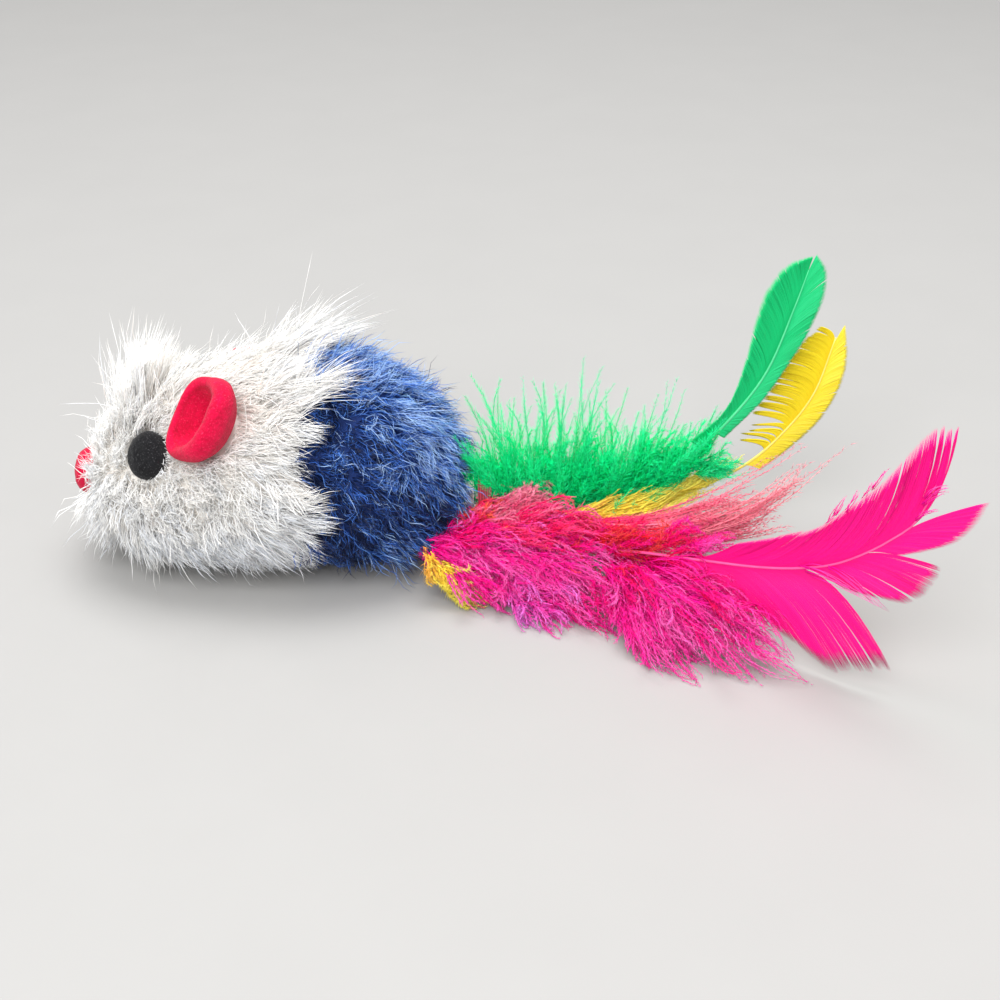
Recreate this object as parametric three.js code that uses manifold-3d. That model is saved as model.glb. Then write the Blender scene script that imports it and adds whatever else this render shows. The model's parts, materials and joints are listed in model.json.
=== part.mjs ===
// Cat toy: a fur-covered mouse with a rattle core and a tail of three dyed feathers.
// Millimetres, +Z up, +X toward the tail, -Y on the mouse's left side.
// The origin is the middle of the flat patch of the belly that the mouse rests on.

import * as THREE from 'three';
import { mergeVertices } from 'three/addons/utils/BufferGeometryUtils.js';
import Module from 'manifold-3d';

const wasm = await Module();
wasm.setup();

// Fits shared by the whole toy
const clearance = 0.3; // between pieces that touch
const overrun = 4; // how far a cutter runs past what it cuts

// The furry body, measured over the bed of the pile, without the loose tips of the hair
const body = {
  noseReach: 30.3, // from the fullest section forward to the muzzle
  rumpReach: 24.5, // from the fullest section back to the tail
  fullestPlace: 4, // of the fullest section behind the origin
  width: 32.6,
  height: 31.4,
  flatDepth: 0.5, // of the flat on the belly
  noseDrop: 3, // how far the middle line falls toward the muzzle
  rumpDrop: 4.4, // and toward the tail
  tailSink: 0.4, // of the tail's line below the middle of the rump
};
const noseFullness = 2.5;
const rumpFullness = 2.7;
const rumpDropPower = 3;
const bodyRings = 15;
const bodySides = 24;

// The two fur covers
const cover = { wall: 2.4, seamBehind: 2.4 }; // the seam is behind the fullest section
const seamPlace = body.fullestPlace + cover.seamBehind;

// The two big tufts of the pile: the crest of the head, whose rings lie along the coat, and the one
// that sweeps back over the seam, whose rings stand across the body. Each ring is an oval of two half
// sizes. Ahead is measured from the fullest section, rise from the coat, and turn in degrees from the
// top toward the left.
const tufts = {
  crest: {
    turn: -9,
    standing: true,
    rings: [
      { ahead: 20, rise: -3, half: 5.5, halfWide: 8 },
      { ahead: 20, rise: 2.5, half: 5, halfWide: 7.5 },
      { ahead: 20, rise: 6, half: 2.8, halfWide: 5 },
    ],
  },
  back: {
    turn: -24,
    standing: false,
    rings: [
      { ahead: 9, rise: -2, half: 1.6, halfWide: 4 },
      { ahead: 2, rise: 0, half: 2.2, halfWide: 6 },
      { ahead: -5, rise: 2.6, half: 1.6, halfWide: 5 },
      { ahead: -8.8, rise: 4.6, half: 0.6, halfWide: 2.6 },
    ],
  },
};
const tuftSides = 14;

// The moulded rattle capsule inside them
const capsule = { wall: 1.2, lipWall: 0.9, lipBack: 1.5, lipReach: 1.2, lipRoot: 0.2 };
const bead = { radius: 1.6, travel: 4.5, ahead: 2 };
const beadPlace = body.fullestPlace - bead.ahead;

// Felt trim: black ovals for the eyes, a bigger one for the nose and a cup for each ear.
// Ahead is measured from the fullest section, lift from the coat, and turn in degrees from the top
// of the head.
const eye = { wide: 6.4, high: 6.8, thick: 1.5, ahead: 19.1, turn: 72, lift: 0.5 };
const nose = { wide: 6.4, high: 7, thick: 1.7, lift: 0.1, rise: 1.6 };
const ear = { height: 13, width: 9.4, depth: 5, wall: 1.2, ahead: 11.2, turn: 60.8, lift: 4.13 };
const trimRoll = 20; // the mouse lies rolled this far in degrees, so its left eye and ear face upward
const earRollShare = 0.3; // how far the rear edge of the cup curls over, of its depth
const domeShares = [[0, -1], [0.86, -1], [1, -0.55], [0.97, 0.1], [0.82, 0.55], [0.5, 0.9], [0, 1]];

// The plug that holds the quills, on the tail's line
const tailHeight = body.height / 2 - body.flatDepth - body.rumpDrop - body.tailSink;
const rumpPlace = body.fullestPlace + body.rumpReach;
const plug = {
  flangeRadius: 3.1,
  flangeThick: 1,
  neckRadius: 1.9,
  collarRadius: 3.3,
  collarThick: 1.1,
  barrelRadius: 2.2,
  barrelLength: 3.8,
  boreDepth: 3.2,
  boreOffset: 1.1,
};
const collarPlace = rumpPlace + clearance;
const barrelPlace = collarPlace + plug.collarThick;
const barrelEnd = barrelPlace + plug.barrelLength;
const quill = {
  rootRadius: 0.45,
  boreRadius: 0.75,
  bendRadius: 0.6,
  tipRadius: 0.14,
  lead: 2, // of straight root before the bend
  webLap: 0.25, // of a one-sided web over the quill
  webStep: 0.05, // that each further web is thicker, so that no two faces coincide
};
const plumeQuill = { radius: 0.3, tipRadius: 0.12 };
const binding = { width: 2, thick: 0.6, turns: 5 };
const plumeRootRadius = plug.barrelRadius + clearance + plumeQuill.radius;

// The three long feathers. Each bends from a place that lies a length past the end of the plug, with
// an offset to one side of the tail's line, and a depth below it. Reach and rise are measured in the
// feather's own upright plane.
const feathers = {
  green: {
    colour: 0x12c96a, boreTurn: 0, heading: 0, reach: 38.1, rise: 37.5,
    bend: { length: 6.3, offset: 1.5, side: -1, depth: 1 },
  },
  yellow: {
    colour: 0xf4dc33, boreTurn: 120, heading: 0, reach: 43, rise: 28.6,
    bend: { length: 6.3, offset: 2.7, side: 1, depth: 3 },
  },
  pink: {
    colour: 0xff1f8a, boreTurn: 240, heading: -34.2, reach: 60.7, rise: 35,
    bend: { length: 7.3, offset: 7.5, side: -1, depth: 4 },
  },
};
const quillShares = {
  green: [
    [0, 0], [0.18, 0.003], [0.37, 0.056], [0.52, 0.16],
    [0.664, 0.323], [0.806, 0.544], [0.892, 0.82], [0.93, 0.97],
  ],
  yellow: [
    [0, 0], [0.14, -0.042], [0.279, -0.056], [0.419, -0.02],
    [0.686, 0.189], [0.812, 0.385], [0.9, 0.6], [0.955, 0.92],
  ],
  pink: [
    [0, 0], [0.191, 0.069], [0.344, 0.14], [0.542, 0.209],
    [0.634, 0.269], [0.72, 0.371], [0.799, 0.511], [0.868, 0.689],
  ],
};

// Two kinds of web: the firm vane, and the down near the root of a feather and all along a plume
const vane = { rootThick: 0.56, edgeThick: 0.36, camber: 0.9, notchShare: 0.1 };
const down = { rootThick: 1.9, edgeThick: 0.5, camber: 0, notchShare: 0.42 };

// Each web spans a stretch of the quill, ends on its own edge and has a count of pointed tips.
// Gaps between neighbouring webs are the splits in the vane.
const webShares = {
  green: [
    {
      kind: vane, from: 0.57, to: 0.985, tips: 8,
      edge: [[0.6, 0.36], [0.703, 0.43], [0.743, 0.6], [0.766, 0.77], [0.8, 0.91], [0.89, 1.01]],
      otherEdge: [[0.72, 0.33], [0.8, 0.43], [0.871, 0.563], [0.95, 0.73], [0.995, 0.86], [1, 1]],
    },
    {
      kind: down, from: 0.03, to: 0.55, tips: 9,
      edge: [[-0.22, 0.44], [-0.02, 0.57], [0.165, 0.575], [0.33, 0.5], [0.45, 0.5], [0.54, 0.33]],
      otherEdge: [[0.05, -0.06], [0.2, -0.07], [0.35, -0.04], [0.45, 0.01], [0.57, 0.12]],
    },
  ],
  yellow: [
    { kind: vane, from: 0.655, to: 0.7, tips: 2, edge: [[0.67, 0.36], [0.69, 0.43]] },
    {
      kind: vane, from: 0.73, to: 0.985, tips: 6,
      edge: [[0.724, 0.56], [0.77, 0.69], [0.83, 0.86], [0.9, 0.98]],
    },
    {
      kind: vane, from: 0.62, to: 0.97, tips: 7,
      edge: [[0.753, 0.157], [0.842, 0.29], [0.93, 0.45], [0.985, 0.64], [1, 0.8], [0.985, 0.99]],
    },
    {
      kind: down, from: 0.1, to: 0.6, tips: 6,
      edge: [[0.12, 0.05], [0.3, 0.06], [0.45, 0.12], [0.6, 0.24]],
      otherEdge: [[0.18, -0.11], [0.32, -0.115], [0.47, -0.07], [0.62, 0.05]],
    },
  ],
  pink: [
    {
      kind: vane, from: 0.42, to: 0.97, tips: 9,
      edge: [[0.47, 0.31], [0.624, 0.424], [0.738, 0.594], [0.831, 0.85], [0.883, 0.987], [0.929, 1.019]],
    },
    { kind: vane, from: 0.92, to: 0.99, tips: 2, edge: [[0.955, 0.625], [1.004, 0.76], [0.93, 0.7]] },
    {
      kind: vane, from: 0.72, to: 0.89, tips: 4,
      edge: [[0.877, 0.282], [0.903, 0.338], [0.925, 0.4], [0.925, 0.46]],
    },
    {
      kind: vane, from: 0.42, to: 0.68, tips: 7,
      edge: [[0.7, -0.14], [0.774, -0.115], [0.814, -0.09], [0.86, -0.05]],
    },
    {
      kind: down, from: 0.08, to: 0.41, tips: 6,
      edge: [[0.08, 0.12], [0.2, 0.2], [0.32, 0.26], [0.44, 0.3]],
      otherEdge: [[0.1, -0.06], [0.22, -0.06], [0.32, -0.04], [0.44, -0.02]],
    },
  ],
};

// The loose downy plumes. Each leaves the tail at its own turn, swings out by its set-off and then
// lies in an upright plane. Route shares are of the reach, the tail's height and the set-off.
const plumes = {
  pink_plume_upper: {
    colour: 0xf5307f, turn: 45, heading: -8, setOff: 2.7, reach: 16,
    routeShares: [[0.25, 1.14, 0.9], [0.55, 1.12, 1], [0.95, 1.14, 1]],
    web: { from: 0.3, to: 0.98, tips: 6 },
    edgeShares: [[-0.1, 1.3], [0.2, 1.36], [0.6, 1.34], [1.05, 1.25]],
    otherEdgeShares: [[0.2, 1.06], [0.5, 1.01], [0.8, 1], [1.02, 1.06]],
  },
  pink_plume_far: {
    colour: 0xf55a97, turn: 85, heading: -18.3, setOff: 2.6, reach: 50,
    routeShares: [[0.1, 0.9, 1], [0.22, 0.85, 1], [0.45, 0.98, 1], [0.7, 1.42, 1], [0.97, 2.4, 1]],
    web: { from: 0.34, to: 0.98, tips: 8 },
    edgeShares: [[0.35, 1.05], [0.5, 1.35], [0.64, 1.68], [0.8, 2.12], [0.9, 2.5], [1, 2.72]],
    otherEdgeShares: [[0.38, 0.74], [0.5, 0.8], [0.73, 1.15], [0.88, 1.5], [1, 2]],
  },
  yellow_plume: {
    colour: 0xf2c53a, turn: 115, heading: 0, setOff: 14.5, reach: 10,
    routeShares: [
      [-0.25, 0.5, 0.42], [-0.6, 0.32, 0.7], [-0.76, 0.36, 0.92],
      [-0.6, 0.26, 1], [-0.36, 0.1, 1],
    ],
    web: { from: 0.72, to: 0.98, tips: 4 },
    edgeShares: [[-0.72, 0.58], [-0.5, 0.4], [-0.32, 0.22]],
    otherEdgeShares: [[-1, 0.36], [-0.8, 0.14], [-0.5, 0.05]],
  },
  pink_plume_near: {
    colour: 0xee2a80, turn: 140, heading: -12, setOff: 12.3, reach: 20,
    routeShares: [[0.1, 0.62, 0.45], [0.3, 0.55, 0.85], [0.55, 0.52, 1], [0.8, 0.5, 1]],
    web: { from: 0.52, to: 0.98, tips: 8 },
    edgeShares: [[-0.3, 0.66], [-0.12, 0.95], [0.15, 1.04], [0.4, 0.95], [0.62, 0.86], [0.84, 0.62]],
    otherEdgeShares: [[-0.1, 0.42], [0.15, 0.3], [0.3, 0.27], [0.5, 0.27], [0.7, 0.3], [0.86, 0.42]],
  },
  pink_plume_under: {
    colour: 0xc85fb0, turn: 185, heading: -30, setOff: 12.9, reach: 24,
    routeShares: [[0.12, 0.3, 0.35], [0.3, 0.13, 0.7], [0.45, 0.2, 0.95], [0.7, 0.3, 1], [0.95, 0.26, 1]],
    web: { from: 0.62, to: 0.98, tips: 6 },
    edgeShares: [[0.42, 0.45], [0.6, 0.58], [0.8, 0.5], [1, 0.36]],
    otherEdgeShares: [[0.46, 0.06], [0.65, 0.05], [0.85, 0.05], [1, 0.15]],
  },
  pink_plume_long: {
    colour: 0xf0488f, turn: 225, heading: -27.8, setOff: 10, reach: 50,
    routeShares: [
      [0.08, 0.33, 0.3], [0.2, 0.14, 0.75], [0.3, 0.15, 1],
      [0.45, 0.3, 1], [0.7, 0.3, 1], [0.97, 0.12, 1],
    ],
    web: { from: 0.44, to: 0.98, tips: 8 },
    edgeShares: [[0.4, 0.6], [0.55, 0.7], [0.75, 0.66], [0.92, 0.4], [1, 0.2]],
    otherEdgeShares: [[0.46, 0.06], [0.6, 0.05], [0.8, 0.05], [0.98, 0.04]],
  },
};
const webRows = 3;

const white = 0xf1ede6;
const blue = 0x4a6aa8;
const hotPink = 0xf21a64;
const black = 0x17171a;
const naturalPlastic = 0xdad7cd;

const toy = new THREE.Group();

// Adds one named piece with its own material.
function addPiece(name, solid, colour, roughness) {
  const mesh = solid.getMesh();
  const geometry = new THREE.BufferGeometry();
  geometry.setAttribute('position', new THREE.BufferAttribute(Float32Array.from(mesh.vertProperties), 3));
  geometry.setIndex(new THREE.BufferAttribute(Uint32Array.from(mesh.triVerts), 1));
  geometry.computeVertexNormals();
  const material = new THREE.MeshStandardMaterial({ color: colour, roughness, metalness: 0 });
  const piece = new THREE.Mesh(geometry, material);
  piece.name = name;
  toy.add(piece);
}

// Turns a closed geometry into a solid that can be joined and cut.
function solidFrom(geometry) {
  const plain = geometry.clone();
  plain.deleteAttribute('normal');
  plain.deleteAttribute('uv');
  const merged = mergeVertices(plain);
  const vertProperties = merged.attributes.position.array;
  const triVerts = Uint32Array.from(merged.index.array);
  return new wasm.Manifold(new wasm.Mesh({ numProp: 3, vertProperties, triVerts }));
}

// A closed loft through rings of points, with a fan to the middle of the first and last ring.
function loft(rings) {
  const sides = rings[0].length;
  const points = rings.flat();
  const middles = [rings[0], rings[rings.length - 1]].map((ring) => {
    const sum = ring.reduce((total, point) => total.add(point), new THREE.Vector3());
    return sum.divideScalar(sides);
  });
  const first = points.length;
  const last = first + 1;
  points.push(...middles);
  const index = [];
  for (let side = 0; side < sides; side += 1) {
    const next = (side + 1) % sides;
    index.push(first, next, side);
    const end = (rings.length - 1) * sides;
    index.push(last, end + side, end + next);
    for (let ring = 0; ring < rings.length - 1; ring += 1) {
      const a = ring * sides;
      const b = a + sides;
      index.push(a + side, a + next, b + side, a + next, b + next, b + side);
    }
  }
  const geometry = new THREE.BufferGeometry();
  const flat = points.flatMap((point) => [point.x, point.y, point.z]);
  geometry.setAttribute('position', new THREE.Float32BufferAttribute(flat, 3));
  geometry.setIndex(signedVolume(points, index) < 0 ? index.reverse() : index);
  return solidFrom(geometry);
}

// Six times the volume inside a list of triangles, positive when they face outward.
function signedVolume(points, index) {
  let volume = 0;
  for (let i = 0; i < index.length; i += 3) {
    const [a, b, c] = [points[index[i]], points[index[i + 1]], points[index[i + 2]]];
    volume += a.dot(b.clone().cross(c));
  }
  return volume;
}

// Joins a list of solids into one.
function joined(solids) {
  return solids.reduce((whole, solid) => whole.add(solid));
}

// A box between two corners.
function boxBetween(low, high) {
  const size = high.clone().sub(low);
  const geometry = new THREE.BoxGeometry(size.x, size.y, size.z);
  const middle = low.clone().add(high).multiplyScalar(0.5);
  geometry.translate(middle.x, middle.y, middle.z);
  return solidFrom(geometry);
}

// A round bar along X through a point.
function barAlongX(from, to, radius, y, z, sides) {
  const geometry = new THREE.CylinderGeometry(radius, radius, to - from, sides);
  geometry.rotateZ(Math.PI / 2);
  geometry.translate((from + to) / 2, y, z);
  return solidFrom(geometry);
}

// The cross-section of the body at a share of its reach, drawn in by an inset on every side.
function bodySection(share, inset) {
  const forward = share < 0;
  const reach = (forward ? body.noseReach : body.rumpReach) - inset;
  const fullness = forward ? noseFullness : rumpFullness;
  const drop = forward ? body.noseDrop * share ** 2 : body.rumpDrop * share ** rumpDropPower;
  const round = Math.sqrt(Math.max(0, 1 - Math.abs(share) ** fullness));
  return {
    x: body.fullestPlace + share * reach,
    halfWidth: (body.width / 2 - inset) * round,
    halfHeight: (body.height / 2 - inset) * round,
    middle: body.height / 2 - body.flatDepth - drop,
  };
}

// The swelling body as one closed form.
function bodyForm(inset) {
  const rings = [];
  for (let ring = 0; ring < bodyRings; ring += 1) {
    const share = Math.sin(Math.PI * ((ring + 0.5) / bodyRings - 0.5));
    const section = bodySection(share, inset);
    const points = [];
    for (let side = 0; side < bodySides; side += 1) {
      const turn = (2 * Math.PI * side) / bodySides;
      const y = section.halfWidth * Math.cos(turn);
      const z = section.middle + section.halfHeight * Math.sin(turn);
      points.push(new THREE.Vector3(section.x, y, z));
    }
    rings.push(points);
  }
  return loft(rings);
}

// Half-spaces big enough for the body, used to split it
const spanX = body.noseReach + body.rumpReach;
const far = new THREE.Vector3(spanX, body.width, body.height * 2);
const near = new THREE.Vector3(-spanX, -body.width, -body.height);

function aheadOf(place) {
  return boxBetween(near, new THREE.Vector3(place, far.y, far.z));
}

function behind(place) {
  return boxBetween(new THREE.Vector3(place, near.y, near.z), far);
}

function acrossFrom(low, high) {
  return boxBetween(new THREE.Vector3(near.x, low, near.z), new THREE.Vector3(far.x, high, far.z));
}

// The cross-section of the coat at a distance ahead of the fullest one, or behind it where negative.
function sectionAhead(ahead) {
  return bodySection(-ahead / (ahead > 0 ? body.noseReach : body.rumpReach), 0);
}

// A tuft of long hair as a closed form through its oval rings.
function tuftForm({ turn, standing, rings }) {
  const lean = THREE.MathUtils.degToRad(turn);
  const outward = new THREE.Vector3(0, -Math.sin(lean), Math.cos(lean));
  const across = new THREE.Vector3(0, Math.cos(lean), Math.sin(lean));
  const along = standing ? new THREE.Vector3(1, 0, 0) : outward;
  return loft(rings.map(({ ahead, rise, half, halfWide }) => {
    const section = sectionAhead(ahead);
    const height = section.middle + section.halfHeight * outward.z;
    const centre = new THREE.Vector3(section.x, section.halfWidth * outward.y, height);
    centre.addScaledVector(outward, rise);
    const points = [];
    for (let side = 0; side < tuftSides; side += 1) {
      const angle = (2 * Math.PI * side) / tuftSides;
      const point = centre.clone().addScaledVector(along, half * Math.cos(angle));
      points.push(point.addScaledVector(across, halfWide * Math.sin(angle)));
    }
    return points;
  }));
}

// The fur covers: one sleeve of pile fabric, cut flat under the belly and seamed round the waist.
// The front one carries the tufts, which keep clear of the rear one.
const tailHole = barAlongX(0, rumpPlace + overrun, plug.neckRadius + clearance, 0, tailHeight, 16);
const coat = bodyForm(0);
const seat = bodyForm(-clearance); // what stays just clear of the coat is cut back to this
const ground = boxBetween(new THREE.Vector3(near.x, near.y, near.z), new THREE.Vector3(far.x, far.y, 0));
const sleeve = coat.subtract(bodyForm(cover.wall)).subtract(ground).subtract(tailHole);
const underTufts = bodyForm(cover.wall).add(seat.intersect(behind(seamPlace - clearance / 2)));
const tuftSolid = joined(Object.values(tufts).map(tuftForm)).subtract(underTufts);
const frontSleeve = sleeve.intersect(aheadOf(seamPlace - clearance / 2));
addPiece('front_cover', frontSleeve.add(tuftSolid), white, 0.95);
addPiece('rear_cover', sleeve.intersect(behind(seamPlace + clearance / 2)), blue, 0.95);

// The rattle capsule: two moulded halves split down the middle, the left one with a locating lip
const capsuleInset = cover.wall + clearance;
const hollowInset = capsuleInset + capsule.wall;
const lipInset = hollowInset + clearance;
const hollow = bodyForm(hollowInset);
const shell = bodyForm(capsuleInset).subtract(hollow).subtract(tailHole);
const flangePlace = rumpPlace - hollowInset - capsule.lipWall - plug.flangeThick - clearance * 4;
const roomRadius = plug.flangeRadius + clearance;
const flangeRoom = barAlongX(flangePlace - clearance, rumpPlace, roomRadius, 0, tailHeight, 16);
const inside = bodyForm(lipInset + capsule.lipWall).add(flangeRoom);
const lip = bodyForm(lipInset).subtract(inside).intersect(acrossFrom(-capsule.lipBack, capsule.lipReach));
const lipFoot = bodyForm(hollowInset - capsule.lipRoot).subtract(inside);
const lipRoot = lipFoot.intersect(acrossFrom(-capsule.lipBack, -clearance / 2));
const leftHalf = shell.intersect(acrossFrom(near.y, -clearance / 2));
addPiece('core_left_shell', joined([leftHalf, lipRoot, lip]), naturalPlastic, 0.5);
addPiece('core_right_shell', shell.intersect(acrossFrom(clearance / 2, far.y)), naturalPlastic, 0.5);

// The rattle beads lie loose on the floor of the capsule, one on the left and two on the right of the lip
const beadStart = beadPlace - bead.travel;
const beadEnd = beadPlace + bead.travel;

// The lowest centre height at which a bead clears the capsule's floor all along its travel.
function beadHeight(y) {
  let height = 0;
  [beadStart, beadEnd].forEach((x) => {
    const forward = x < body.fullestPlace;
    const reach = (forward ? body.noseReach : body.rumpReach) - hollowInset;
    const section = bodySection((x - body.fullestPlace) / reach, hollowInset);
    [-1, -0.5, 0, 0.5, 1].forEach((lean) => {
      const side = (y + lean * bead.radius) / section.halfWidth;
      const floor = section.middle - section.halfHeight * Math.sqrt(Math.max(0, 1 - side ** 2));
      height = Math.max(height, floor + bead.radius * Math.sqrt(1 - lean ** 2));
    });
  });
  return height + clearance;
}

const beadRows = [
  -(capsule.lipBack + clearance + bead.radius),
  capsule.lipReach + clearance + bead.radius,
  capsule.lipReach + clearance * 2 + bead.radius * 3,
];
beadRows.forEach((y, order) => {
  const geometry = new THREE.SphereGeometry(bead.radius, 12, 8);
  geometry.translate(beadPlace, y, beadHeight(y));
  addPiece(`rattle_bead_${order + 1}`, solidFrom(geometry), 0xc9c4b8, 0.35);
});

// A domed oval of felt whose face looks along a direction. Felt is glued on the pile, so each piece is
// cut back to just clear of the coat.
function feltOval(trim, place, facing, up) {
  const dome = new THREE.LatheGeometry(domeShares.map(([r, z]) => new THREE.Vector2(r, z)), 18);
  dome.rotateX(Math.PI / 2);
  dome.scale(trim.wide / 2, trim.high / 2, trim.thick);
  const side = new THREE.Vector3().crossVectors(up, facing).normalize();
  const top = new THREE.Vector3().crossVectors(facing, side);
  dome.applyMatrix4(new THREE.Matrix4().makeBasis(side, top, facing).setPosition(place));
  return solidFrom(dome).subtract(seat);
}

// Eyes and ears come in pairs: -1 is the mouse's left side, +1 its right.
const upright = new THREE.Vector3(0.1, 0, 1);
[-1, 1].forEach((side) => {
  const name = side < 0 ? 'left' : 'right';
  const turn = THREE.MathUtils.degToRad(eye.turn + side * trimRoll);
  const section = sectionAhead(eye.ahead);
  const eyeHeight = section.middle + section.halfHeight * Math.cos(turn);
  const eyeAt = new THREE.Vector3(section.x, side * section.halfWidth * Math.sin(turn), eyeHeight);
  const eyeFacing = new THREE.Vector3(-0.42, side * Math.sin(turn), Math.cos(turn)).normalize();
  eyeAt.addScaledVector(eyeFacing, eye.lift);
  addPiece(`${name}_eye`, feltOval(eye, eyeAt, eyeFacing, upright), black, 0.9);
  addPiece(`${name}_ear`, earCup(side), hotPink, 0.9);
});
const noseHeight = body.height / 2 - body.flatDepth - body.noseDrop + nose.rise;
const noseAt = new THREE.Vector3(body.fullestPlace - body.noseReach - nose.lift, 0, noseHeight);
const noseFacing = new THREE.Vector3(-1, 0, 0.12).normalize();
addPiece('nose', feltOval(nose, noseAt, noseFacing, upright), hotPink, 0.9);

// One ear: an oval of felt pressed into a cup whose rear edge curls over its mouth. The roll of the
// mouse turns the right one further down its side.
function earCup(side) {
  const roll = side > 0 ? -2 * THREE.MathUtils.degToRad(trimRoll) : 0;
  const turned = (x, y, z) => new THREE.Vector3(x, y, z).applyEuler(new THREE.Euler(roll, 0, 0));
  const mouth = turned(-0.72, side * 0.315, 0.62).normalize();
  const across = new THREE.Vector3().crossVectors(turned(0.39, side * -0.554, 0.728), mouth).normalize();
  const tall = new THREE.Vector3().crossVectors(mouth, across);
  const section = sectionAhead(ear.ahead);
  const lean = THREE.MathUtils.degToRad(ear.turn + side * trimRoll);
  const outward = side * (section.halfWidth + ear.lift) * Math.sin(lean);
  const height = section.middle + (section.halfHeight + ear.lift) * Math.cos(lean);
  const foot = new THREE.Vector3(section.x, outward, height);
  const turns = 18;
  const wallShares = [0.35, 0.65, 0.88, 1];
  const skinAt = (share, turn, wall) => {
    const rear = Math.max(0, side * -Math.sin(turn));
    const curl = 1 + earRollShare * rear * share ** 2;
    const draw = 1 - earRollShare * rear * share ** 3;
    const depth = ear.depth * (share ** 2 - 1) * curl;
    const reach = 1 - (wall * share) / (ear.width / 2);
    return foot.clone()
      .addScaledVector(tall, (ear.height / 2) * share * Math.cos(turn) * reach)
      .addScaledVector(across, (ear.width / 2) * share * Math.sin(turn) * reach * draw)
      .addScaledVector(mouth, depth + wall * (1 - share * 0.5));
  };
  const layers = [
    ...wallShares.map((share) => [share, 0]),
    ...[...wallShares].reverse().map((share) => [share, ear.wall]),
  ];
  const rings = layers.map(([share, wall]) => {
    const points = [];
    for (let step = 0; step < turns; step += 1) {
      points.push(skinAt(share, (2 * Math.PI * step) / turns, wall));
    }
    return points;
  });
  return loft(rings).subtract(seat);
}

// The tail plug: a flange held inside the capsule, a neck through the shell, a collar and a barrel
const plugProfile = [
  [0, flangePlace], [plug.flangeRadius, flangePlace], [plug.flangeRadius, flangePlace + plug.flangeThick],
  [plug.neckRadius, flangePlace + plug.flangeThick], [plug.neckRadius, collarPlace],
  [plug.collarRadius, collarPlace], [plug.collarRadius, barrelPlace],
  [plug.barrelRadius, barrelPlace], [plug.barrelRadius, barrelEnd], [0, barrelEnd],
];

// Turns a profile of radius and place about the tail's line.
function turnedOnTail(profile, sides) {
  const lathe = new THREE.LatheGeometry(profile.map(([r, x]) => new THREE.Vector2(r, x)), sides);
  lathe.rotateZ(-Math.PI / 2);
  lathe.translate(0, 0, tailHeight);
  return solidFrom(lathe);
}

// A place beside the tail's line, at a turn in degrees from straight up toward the left.
function besideTail(x, radius, turn) {
  const angle = THREE.MathUtils.degToRad(turn);
  return new THREE.Vector3(x, -radius * Math.sin(angle), tailHeight + radius * Math.cos(angle));
}

let plugSolid = turnedOnTail(plugProfile, 18);
Object.values(feathers).forEach((feather) => {
  const at = besideTail(0, plug.boreOffset, -feather.boreTurn);
  const from = barrelEnd - plug.boreDepth;
  plugSolid = plugSolid.subtract(barAlongX(from, barrelEnd + overrun, quill.boreRadius, at.y, at.z, 10));
});
addPiece('tail_plug', plugSolid, naturalPlastic, 0.5);

// The thread whipping that holds the plumes round the barrel, a ridge for each turn
const whipInner = plumeRootRadius + plumeQuill.radius + clearance;
const whipStart = barrelPlace + clearance * 2;
const whipPitch = binding.width / binding.turns;
const whipProfile = [[whipInner, whipStart]];
for (let turn = 0; turn < binding.turns; turn += 1) {
  whipProfile.push([whipInner + binding.thick / 2, whipStart + whipPitch * turn]);
  whipProfile.push([whipInner + binding.thick, whipStart + whipPitch * (turn + 0.5)]);
}
whipProfile.push([whipInner + binding.thick / 2, whipStart + binding.width]);
whipProfile.push([whipInner, whipStart + binding.width]);
whipProfile.push([whipInner, whipStart]);
addPiece('tail_binding', turnedOnTail(whipProfile, 18), 0xb9243f, 0.8);

// A tapering round tube along a curve, with a closed flat end at each side.
function taperedTube(curve, startRadius, endRadius, steps, sides, roundStart) {
  const rings = [];
  const frames = curve.computeFrenetFrames(steps, false);
  const pushRing = (centre, step, radius) => {
    const points = [];
    for (let side = 0; side < sides; side += 1) {
      const turn = (2 * Math.PI * side) / sides;
      const out = frames.normals[step].clone().multiplyScalar(Math.cos(turn) * radius);
      out.addScaledVector(frames.binormals[step], Math.sin(turn) * radius);
      points.push(centre.clone().add(out));
    }
    rings.push(points);
  };
  if (roundStart) {
    [75, 45, 15].forEach((degrees) => {
      const angle = THREE.MathUtils.degToRad(degrees);
      const back = -startRadius * Math.sin(angle);
      const centre = curve.getPointAt(0).addScaledVector(frames.tangents[0], back);
      pushRing(centre, 0, startRadius * Math.cos(angle));
    });
  }
  for (let step = 0; step <= steps; step += 1) {
    const share = step / steps;
    pushRing(curve.getPointAt(share), step, startRadius + (endRadius - startRadius) * share);
  }
  return loft(rings);
}

// A closed web of barbs along a quill. Every column is made of barbs that leave along the quill and
// sweep out to the edge, on one side or on both. Columns end by turns on the edge and at a notch, which
// makes the pointed tips.
function barbWeb(curve, edge, otherEdge, face, web, order) {
  const columns = [];
  const steps = web.tips * 2;
  for (let step = 0; step <= steps; step += 1) {
    const share = step / steps;
    const at = web.from + (web.to - web.from) * share;
    const pullIn = step % 2 ? 0 : web.kind.notchShare;
    const rows = barbRows(curve, at, edge.getPoint(share), pullIn, face, web.kind);
    if (otherEdge) {
      const otherRows = barbRows(curve, at, otherEdge.getPoint(share), pullIn, face, web.kind);
      rows.unshift(...otherRows.slice(1).reverse());
    } else {
      const [{ centre, thick }, next] = rows;
      const inward = centre.clone().sub(next.centre).normalize();
      rows.unshift({ centre: centre.clone().addScaledVector(inward, quill.webLap), thick });
    }
    const skin = (way) => rows.map(({ centre, thick }) => {
      const out = (thick + order * quill.webStep) / 2;
      return centre.clone().addScaledVector(face, way * out);
    });
    columns.push([...skin(1), ...skin(-1).reverse()]);
  }
  return loft(columns);
}

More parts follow.
